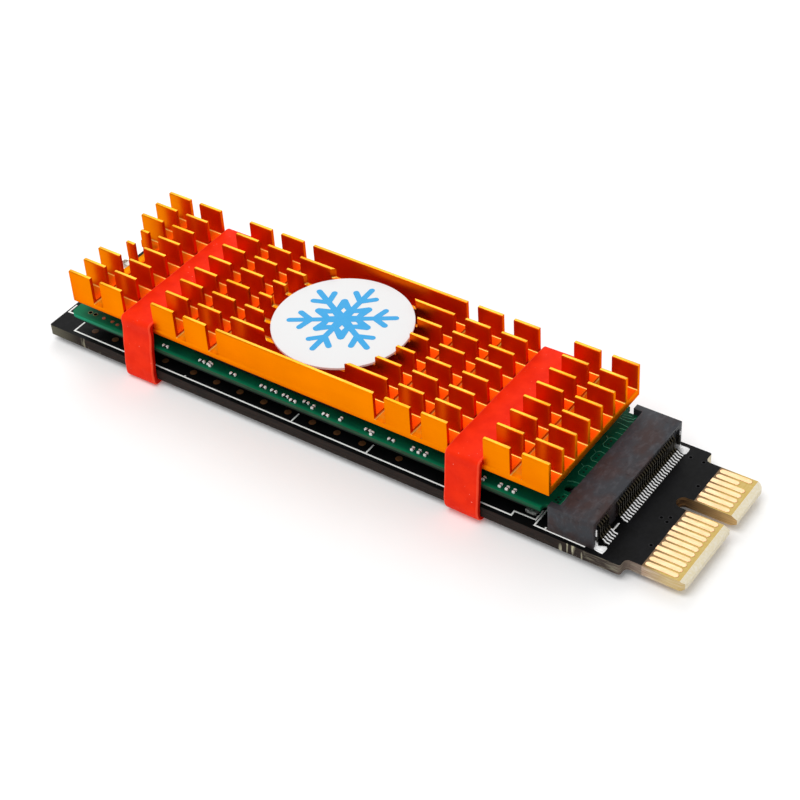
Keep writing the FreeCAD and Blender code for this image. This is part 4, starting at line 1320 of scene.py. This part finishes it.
@dataclass
class Drive:
    """M.2 drive: its green board, chips, ceramic parts and tracks."""

    rounding: float = 0.06
    chip_rounding: float = 0.12
    cap_share: float = 0.36
    cap_height: float = 0.85
    body_height: float = 0.6
    body_trim: float = 0.04
    cap_width: float = 0.85
    more_resistors: tuple[Point, ...] = ((-7.6, -10.45), (-5.9, -9.8), (-2.3, -10.5))
    more_capacitors: tuple[Point, ...] = ((-4.6, -10.1), (-21.9, -10.0), (4.9, -10.4))
    track_width: float = 0.09
    tracks: tuple[tuple[Point, ...], ...] = (
        ((31.07, 5.68), (31.41, 5.74), (32.7, 5.72)), ((31.19, 6.6), (31.49, 6.71), (32.7, 6.7)),
        ((30.31, 7.5), (31.07, 7.45), (31.92, 7.32), (32.6, 7.3)),
        ((30.15, 8.34), (31.52, 8.29), (32.0, 8.58), (32.6, 8.6)),
        ((30.34, 8.74), (31.18, 8.88), (31.78, 8.96), (31.91, 9.47)),
        ((30.3, 9.15), (30.77, 9.29), (31.28, 9.37)),
        ((30.55, -5.13), (31.11, -4.86), (31.88, -4.8), (32.6, -4.8)),
        ((30.96, -9.32), (31.31, -9.41), (31.89, -9.4), (31.97, -8.96), (31.99, -8.01),
         (31.9, -7.38), (31.38, -7.39)))
    loop_track: tuple[Point, ...] = ((32.6, -1.5), (31.88, -1.48), (31.21, -1.41),
                                     (30.86, -1.83), (30.82, -3.07), (31.16, -3.41),
                                     (31.9, -3.37), (32.6, -3.37))
    loop_steps: tuple[float, ...] = (0.0, 3.03, 6.05)
    loop_vias: tuple[Point, ...] = ((31.43, -2.1), (31.42, -2.74))
    dots: tuple[Point, ...] = ((31.11, -8.2), (31.52, -7.82), (31.08, -8.73), (31.51, -8.43),
                               (31.5, -8.99))
    end_holes: tuple[Point, ...] = ((-43.25, -9.62), (-42.36, -9.59))
    end_domes: tuple[Point, ...] = ((-40.77, -9.65), (-39.24, -9.64), (-38.19, -9.81),
                                    (-36.95, -9.8))
    chips: tuple[str, ...] = ("drive_controller", "drive_dram", "drive_flash_chips",
                              "drive_regulator")

    def build(self) -> None:
        """Make the drive's board and everything soldered to it."""
        settle(self.dress_board(), ["drive_board"])
        for node in self.chips:
            polished_node(node, node.replace("drive_", "") + "_package", "epoxy",
                          self.chip_rounding)
        self.passive_row("drive_resistors", "resistor", "resistor_body", True,
                         more=self.more_resistors)
        # painted shade: the capacitor bodies take the near-black ceramic finish
        self.passive_row("drive_capacitors", "capacitor", "ceramic", False,
                         more=self.more_capacitors)
        self.passive_row("board_decoupler", "decoupler", "grey_ceramic", True, "dull_tin")
        self.copper()
        for node in ("drive_contacts_top", "drive_contacts_bottom"):
            paint_node(node, "gold")
        polished_node("thermal_pad", "gap_filler", "gap_pad", 0.2)

    def dress_board(self) -> bpy.types.Object:
        """Mask on both faces, bare laminate round the edge."""
        piece = merged_copy("drive_board", "drive_laminate")
        add_finishes(piece, "green_mask", "green_edge")
        for face in piece.data.polygons:
            face.material_index = int(abs(face.normal.z) <= FACING)
        return soften_edges(piece, self.rounding)

    def copper(self) -> None:
        """Tracks beside the socket, the holes between them and the pads at the far end."""
        top = high("drive_board").z
        loops = [[(x, y + step) for x, y in self.loop_track] for step in self.loop_steps]
        stubs = [[(30.42, -1.54 + step), (30.86, -1.83 + step)] for step in self.loop_steps]
        settle(strokes("drive_tracks", "green_track", [*self.tracks, *loops, *stubs], top,
                       self.track_width, 0.03))
        vias = [(x, y + step, top) for x, y in self.loop_vias for step in self.loop_steps]
        rows = (("drive_vias", "green_hollow", vias, 0.3),
                ("drive_dots", "green_hollow", [(x, y, top) for x, y in self.dots], 0.36),
                ("drive_hole_rims", "pad_rim", [(x, y, top) for x, y in self.end_holes], 0.72),
                # painted shade: a black disc in each hole
                ("drive_holes", "dark_pad", [(x, y, top + 0.02) for x, y in self.end_holes],
                 0.5),
                ("drive_domes", "flux_dot", [(x, y, top) for x, y in self.end_domes], 0.55))
        for name, finish, places, across in rows:
            settle(spots(name, finish, places, across, 0.03, 0.015, 4, 0.7))

    def passive_row(self, node: str, name: str, finish: str, along: bool,
                    cap_finish: str = "tin", more: Sequence[Point] = ()) -> None:
        """Ceramic parts with a tinned cap at each end.

        Args:
            node: The CAD node they stand for.
            name: Start of the names of the pieces.
            finish: Finish of the bodies.
            along: True where the caps are at the ends along X.
            cap_finish: Finish of the caps.
            more: Plan places of further parts of the same kind.
        """
        boxes = solid_boxes(node)
        size = boxes[0][1] - boxes[0][0]
        cap = self.cap_share * (size.x if along else size.y)
        middles = [middle_of(pair) for pair in boxes]
        middles += [(x, y, boxes[0][0].z) for x, y in more]
        bodies = plates(name + "_bodies", finish, middles,
                        size.x - (cap if along else self.body_trim),
                        size.y - (self.body_trim if along else cap),
                        size.z * self.body_height, 0.02, 0.03, 2, 0.94)
        offset = (size.x if along else size.y) / 2 - cap / 2
        ends = [(x + sign * offset * along, y + sign * offset * (not along), z)
                for x, y, z in middles for sign in (-1, 1)]
        caps = plates(name + "_caps", cap_finish, ends, cap if along else size.x,
                      size.y * self.cap_width if along else cap, size.z * self.cap_height,
                      0.05, 0.06, 2, 0.85)
        settle(bodies, [node])
        settle(caps)


@dataclass
class Heatsink:
    """Milled, dyed and anodised heatsink, with its label."""

    rounding: float = 0.06
    foot_fillet: float = 0.14
    crest_round: float = 0.1
    margin: float = 0.05
    lit_and_shaded_dyes: tuple[str, ...] = ("heatsink", "heatsink_flanks", "heatsink_floors",
                             "heatsink_crests", "heatsink_feet")
    arms: int = 6
    stroke: float = 0.82
    turn: float = 32.0
    arm_reach: float = 7.0
    branch_root: float = 4.2
    branch_tip: float = 5.8
    branch_spread: float = 15.6
    lobe_reach: float = 4.3
    waist: float = 2.3
    hole_reach: float = 1.85
    hole_length: float = 1.15
    hole_width: float = 0.72
    centre_shift: Point = (-0.35, 0.46)

    def build(self) -> None:
        """Make the heatsink, the label and its snowflake."""
        settle(self.fins(), ["heatsink"])
        settle(self.disc(), ["label_disc"])
        settle(self.snowflake(), ["label_snowflake"])

    def fins(self) -> bpy.types.Object:
        """Fins with soft feet and crisp crests, each kind of face with its own copy of the dye,
        lighter or darker as painted light and shade.
        """
        piece = merged_copy("heatsink", "finned_heatsink")
        add_finishes(piece, *self.lit_and_shaded_dyes)
        outer, flank, floor, crest, foot = range(len(self.lit_and_shaded_dyes))
        a, b = low("heatsink"), high("heatsink")
        top = b.z - self.margin
        for face in piece.data.polygons:
            middle, normal = face.center / MM, face.normal
            long_side = abs(normal.y) > FACING and abs(middle.y) > b.y - self.margin
            end = (abs(normal.x) > FACING
                   and not a.x + self.margin < middle.x < b.x - self.margin)
            # painted light and shade: each kind of face takes a lighter or darker copy of the dye
            if normal.z > FACING:
                face.material_index = crest if middle.z > top else floor
            else:
                outside = long_side or end or normal.z < -FACING
                face.material_index = outer if outside else flank
        with editing(piece.data) as bm:
            crests = [e for e in bm.edges if e.is_manifold and e.is_convex
                      and min(v.co.z for v in e.verts) > top * MM
                      and abs(e.verts[0].co.y - e.verts[1].co.y) < 0.01 * MM]
            round_some(bm, crests, self.crest_round, flank)
            for face in bm.faces:
                middle = face.calc_center_median() / MM
                if 0.1 < face.normal.z < 0.99 and middle.z > top - self.crest_round:
                    outside = abs(middle.y) > b.y - self.crest_round
                    face.material_index = outer if outside else flank
            feet = [e for e in bm.edges if e.is_manifold and not e.is_convex
                    and e.calc_face_angle(0.0) > 1.0]
            round_some(bm, feet, self.foot_fillet, foot)
        return smooth(soften_edges(piece, self.rounding))

    def disc(self) -> bpy.types.Object:
        """Round label with its edge turned down a little."""
        a, b = low("label_disc"), high("label_disc")
        piece = plates("label", "label", [middle_of((a, b))], b.x - a.x, b.y - a.y, b.z - a.z,
                       (b.x - a.x) / 2 - 0.001, 0.06, 24, 0.994)
        add_finishes(piece, "label_edge")
        for face in piece.data.polygons:
            face.material_index = int(face.normal.z < 0.8)
        return smooth(piece, 40)

    def capsule(self, start: Vector, end: Vector, steps: int = 7) -> list[Vector]:
        """Outline of a stroke with round ends.

        Args:
            start: One end of its middle line.
            end: The other end.
            steps: Points round each end.

        Returns:
            The outline, anticlockwise.
        """
        along = math.atan2(end.y - start.y, end.x - start.x)
        outline = []
        for middle, facing in ((end, along), (start, along + math.pi)):
            for i in range(steps):
                angle = facing - math.pi / 2 + math.pi * i / (steps - 1)
                outline.append(middle + Vector((math.cos(angle), math.sin(angle)))
                               * self.stroke / 2)
        return outline

    @staticmethod
    def polar(radius: float, degrees: float) -> Vector:
        """Plan point at a radius and an angle."""
        return Vector((math.cos(math.radians(degrees)), math.sin(math.radians(degrees)))) * radius

    def directions(self) -> list[float]:
        """Angle of each arm, in degrees."""
        return [self.turn + 360 / self.arms * i for i in range(self.arms)]

    def star(self) -> list[Vector]:
        """Star with a lobe between each two arms, rounded at its tip."""
        outline = []
        for arm in self.directions():
            outline.append(self.polar(self.waist, arm))
            for step in (-6, -3, 0, 3, 6):
                dip = 0.05 * (abs(step) / 3) ** 2
                outline.append(self.polar(self.lobe_reach - dip, arm + 180 / self.arms + step))
        return outline

    def holes(self) -> list[list[Vector]]:
        """A diamond in each lobe."""
        found = []
        for arm in self.directions():
            out = self.polar(1.0, arm + 180 / self.arms)
            side = Vector((-out.y, out.x))
            middle = out * self.hole_reach
            long, wide = out * self.hole_length / 2, side * self.hole_width / 2
            found.append([middle - long, middle - wide, middle + long, middle + wide])
        return found

    def snowflake(self) -> bpy.types.Object:
        """Printed snowflake: star and arms in one flat outline, with the holes left out."""
        shapes = [self.star()]
        for arm in self.directions():
            shapes.append(self.capsule(Vector((0, 0)), self.polar(self.arm_reach, arm)))
            for side in (-1, 1):
                shapes.append(self.capsule(self.polar(self.branch_root, arm), self.polar(
                    self.branch_tip, arm + side * self.branch_spread)))
        holes = self.holes()
        points: list[Vector] = []
        faces: list[list[int]] = []
        for outline in shapes + holes:
            faces.append(list(range(len(points), len(points) + len(outline))))
            points += outline
        made = delaunay_2d_cdt(points, [], faces, 1, 1e-5)
        first_hole = len(shapes)
        kept = [face for face, sources in zip(made[2], made[5])
                if not any(source >= first_hole for source in sources)]
        return self.printed(made[0], kept)

    def printed(self, flat: Sequence[Vector], faces: Sequence[Sequence[int]]
                ) -> bpy.types.Object:
        """Raise a flat outline to a film of ink on the label.

        Args:
            flat: Plan points about the middle of the label.
            faces: Corner indices.

        Returns:
            The piece.
        """
        a, b = low("label_snowflake"), high("label_snowflake")
        x = (a.x + b.x) / 2 + self.centre_shift[0]
        y = (a.y + b.y) / 2 + self.centre_shift[1]
        piece = mesh_piece("snowflake", [(p.x + x, p.y + y, a.z) for p in flat], faces,
                           MATERIALS["label_ink"])
        with editing(piece.data) as bm:
            loose = [v for v in bm.verts if not v.link_faces]
            bmesh.ops.delete(bm, geom=loose, context="VERTS")
            raised = bmesh.ops.extrude_face_region(bm, geom=bm.faces[:])
            lifted = [e for e in raised["geom"] if isinstance(e, bmesh.types.BMVert)]
            bmesh.ops.translate(bm, verts=lifted, vec=(0, 0, (b.z - a.z) * MM))
            bmesh.ops.recalc_face_normals(bm, faces=bm.faces[:])
        return piece


@dataclass
class Band:
    """Silicone band stretched round the card, its edges rounded and its faces uneven."""

    node: str
    seed: float
    thickness: float = 1.0
    edge_radius: float = 0.22
    edge_steps: int = 4
    top_radius: float = 0.81
    side_radius: float = 1.5
    bottom_radius: float = 1.17
    inner_radius: float = 0.25
    reach_limit: float = 0.9
    waviness: float = 0.16
    wander: float = 0.12
    across: int = 14
    per_run: int = 10
    per_corner: int = 8

    def build(self) -> None:
        """Sweep the band's section round its loop."""
        name = self.node + "_rubber"
        settle(self.sweep(name), [self.node])

    def corners(self) -> list[list[Point3]]:
        """Corners of the outer and inner loops as y, z and radius, read from the CAD."""
        a, b = low(self.node), high(self.node)
        board, sink = high("adapter_board"), high("drive_board")
        sink_floor, beside = low("heatsink").z, sink.y + self.thickness
        outer = [(beside, b.z, self.top_radius), (beside, sink_floor, self.side_radius),
                 (b.y, board.z, self.side_radius), (b.y, a.z, self.bottom_radius)]
        inner = [(sink.y, b.z - self.thickness, self.inner_radius),
                 (sink.y, sink_floor, self.side_radius), (board.y, board.z, self.side_radius),
                 (board.y, a.z + self.thickness, self.inner_radius)]
        return [[*side, *[(-y, z, r) for y, z, r in reversed(side)]] for side in (outer, inner)]

    def loop(self, corners: Sequence[Point3]) -> list[Point]:
        """Points round a closed loop with rounded corners.

        Args:
            corners: y, z and radius of each corner.

        Returns:
            Plan points of the loop, the same number for any radii.
        """
        path: list[Point] = []
        count = len(corners)
        ends = []
        for i, (y, z, radius) in enumerate(corners):
            here = Vector((y, z))
            back = Vector(corners[i - 1][:2]) - here
            ahead = Vector(corners[(i + 1) % count][:2]) - here
            half = back.angle(ahead) / 2
            reach = min(radius / math.tan(half), back.length * self.reach_limit,
                        ahead.length * self.reach_limit)
            ends.append((here, back.normalized() * reach, ahead.normalized() * reach))
        for i, (here, back, ahead) in enumerate(ends):
            for step in range(self.per_corner):
                t = step / (self.per_corner - 1)
                point = here + back * (1 - t) ** 2 + ahead * t ** 2
                path.append((point.x, point.y))
            following, into, _ = ends[(i + 1) % count]
            start, end = here + ahead, following + into
            for step in range(1, self.per_run):
                point = start.lerp(end, step / self.per_run)
                path.append((point.x, point.y))
        return path

    def section(self) -> list[Point]:
        """Closed section of the band: place across it, and share of its thickness."""
        half = (high(self.node).x - low(self.node).x) / 2
        r = self.edge_radius
        outline: list[Point] = []
        for i in range(self.across + 1):
            outline.append((-(half - r) + 2 * (half - r) * i / self.across, 1.0))
        for i in range(1, self.edge_steps):
            angle = math.pi / 2 * (1 - i / self.edge_steps)
            outline.append((half - r + r * math.cos(angle), 1 - r + r * math.sin(angle)))
        outline += [(half, 1 - r), (half, r), (half - r, 0.0), (-(half - r), 0.0),
                    (-half, r), (-half, 1 - r)]
        for i in range(1, self.edge_steps):
            angle = math.pi / 2 * (i / self.edge_steps)
            outline.append((-(half - r) - r * math.cos(angle), 1 - r + r * math.sin(angle)))
        return outline

    def dent(self, x: float, y: float, z: float) -> float:
        """How far the outer face lies inside its full thickness, as a share of it."""
        wave = noise.noise(Vector((x * 0.16 + self.seed, y * 0.22, z * 0.35 + self.seed)))
        ripple = noise.noise(Vector((x * 0.7, y * 0.5 + self.seed, z * 0.8)))
        return self.waviness * (0.5 + 0.5 * wave) + 0.03 * (0.5 + 0.5 * ripple)

    def sway(self, y: float, z: float) -> float:
        """How far the stretched band wanders sideways, in millimetres."""
        return self.wander * noise.noise(Vector((self.seed, y * 0.3, z * 0.4 + self.seed)))

    def sweep(self, name: str) -> bpy.types.Object:
        """Carry the section round the loop and close it on itself."""
        outer, inner = (self.loop(corners) for corners in self.corners())
        middle = (low(self.node).x + high(self.node).x) / 2
        section = self.section()
        points: list[Point3] = []
        for (oy, oz), (iy, iz) in zip(outer, inner):
            sideways = self.sway(oy, oz)
            for across, share in section:
                x = middle + across + sideways
                depth = share * (1 - self.dent(x, oy, oz)) if share > 0.4 else share
                points.append((x, iy + (oy - iy) * depth, iz + (oz - iz) * depth))
        size, count = len(section), len(outer)
        faces = [face for i in range(count)
                 for face in ring_quads(i * size, (i + 1) % count * size, size)]
        piece = outward(mesh_piece(name, points, faces, MATERIALS["band"]))
        add_finishes(piece, "band_rim", "band_side")
        # painted highlight on the rounded rims, painted shade on the sides
        rim, end = self.edge_steps, size - self.across
        for index, face in enumerate(piece.data.polygons):
            j = index % size - self.across
            if 0 <= j < rim or j >= end - rim:
                face.material_index = 1
            elif rim <= j < rim + 3 or j >= end - rim - 2:
                face.material_index = 2
        return smooth(piece, 60)


@dataclass
class DriveFastener:
    """Standoff and screw that hold the drive's far end."""

    rounding: float = 0.08

    def build(self) -> None:
        """Finish both turned parts."""
        polished_node("standoff", "threaded_standoff", "nickel", self.rounding)
        polished_node("retaining_screw", "pan_head_screw", "nickel",
                      self.rounding)


@dataclass
class Studio:
    """White table, soft light and the camera."""

    floor_half: float = 900.0
    focal_length: float = 88.764
    eye: Point3 = (121.6947, -158.4278, 170.0301)
    target: Point3 = (6.3845, -5.9501, 8.9273)
    roll: float = -4.0256
    near_clip: float = 0.005                # metres
    sky: float = 0.55
    table_glow: float = 0.08
    table_white: float = 0.92
    lamps: tuple[tuple[str, Point3, float, float], ...] = (
        ("key_softbox", (-60, -200, 600), 420, 1.95),
        ("top_softbox", (-280, 375, 390), 420, 1.1))

    def build(self) -> None:
        """Make the floor, the lights and the camera."""
        self.floor()
        for lamp in self.lamps:
            self.lamp(*lamp)
        world = bpy.data.worlds.new("studio")
        world.use_nodes = True
        background = world.node_tree.nodes["Background"]
        background.inputs["Color"].default_value = (1, 1, 1, 1)
        background.inputs["Strength"].default_value = self.sky
        bpy.context.scene.world = world
        bpy.context.scene.view_settings.view_transform = "Standard"
        self.camera()

    def floor(self) -> None:
        """White table top under the card."""
        material = bpy.data.materials.new("white_table")
        material.use_nodes = True
        shader = material.node_tree.nodes["Principled BSDF"]
        for name, value in (("Base Color", (*[self.table_white] * 3, 1)), ("Roughness", 0.9),
                            ("Specular IOR Level", 0.1), ("Emission Color", (1, 1, 1, 1)),
                            ("Emission Strength", self.table_glow)):
            shader.inputs[name].default_value = value
        corners = [(self.floor_half * x, self.floor_half * y, 0) for x, y in SQUARE]
        mesh_piece("table", corners, [(0, 1, 2, 3)], material)

    def lamp(self, name: str, place: Point3, size: float, watts: float) -> None:
        """A square softbox that faces the card.

        Args:
            name: Name of the lamp.
            place: Its middle, in millimetres.
            size: Its side, in millimetres.
            watts: Its power.
        """
        data = bpy.data.lights.new(name, "AREA")
        data.shape = "SQUARE"
        data.size = size * MM
        data.energy = watts
        made = add_object(name, data)
        made.location = Vector(place) * MM
        made.rotation_euler = (-made.location).to_track_quat("-Z", "Y").to_euler()

    def camera(self) -> None:
        """Camera at three-quarter view from the contact end, rolled a little."""
        data = bpy.data.cameras.new("camera")
        data.sensor_width = 36.0
        data.lens = self.focal_length
        data.clip_start = self.near_clip
        made = add_object("camera", data)
        back = (Vector(self.eye) - Vector(self.target)).normalized()
        level = Vector((0, 0, 1)).cross(back).normalized()
        right = Matrix.Rotation(math.radians(self.roll), 3, back) @ level
        turn = Matrix((right, back.cross(right), back)).transposed().to_4x4()
        made.matrix_world = Matrix.Translation(Vector(self.eye) * MM) @ turn
        bpy.context.scene.camera = made


def main() -> None:
    """Build the card's sub-assemblies in order, then the studio."""
    logging.basicConfig(level=logging.INFO, format="%(name)s %(message)s")
    assemblies = [AdapterBoard(), EdgeContacts(), Socket(), Drive(), Heatsink(),
                  Band("band_screw_end", 3.1),
                  Band("band_socket_end", 8.7, bottom_radius=2.3), DriveFastener(), Studio()]
    for assembly in assemblies:
        log.info("building %s", type(assembly).__name__)
        assembly.build()


if __name__ == "__main__":
    main()
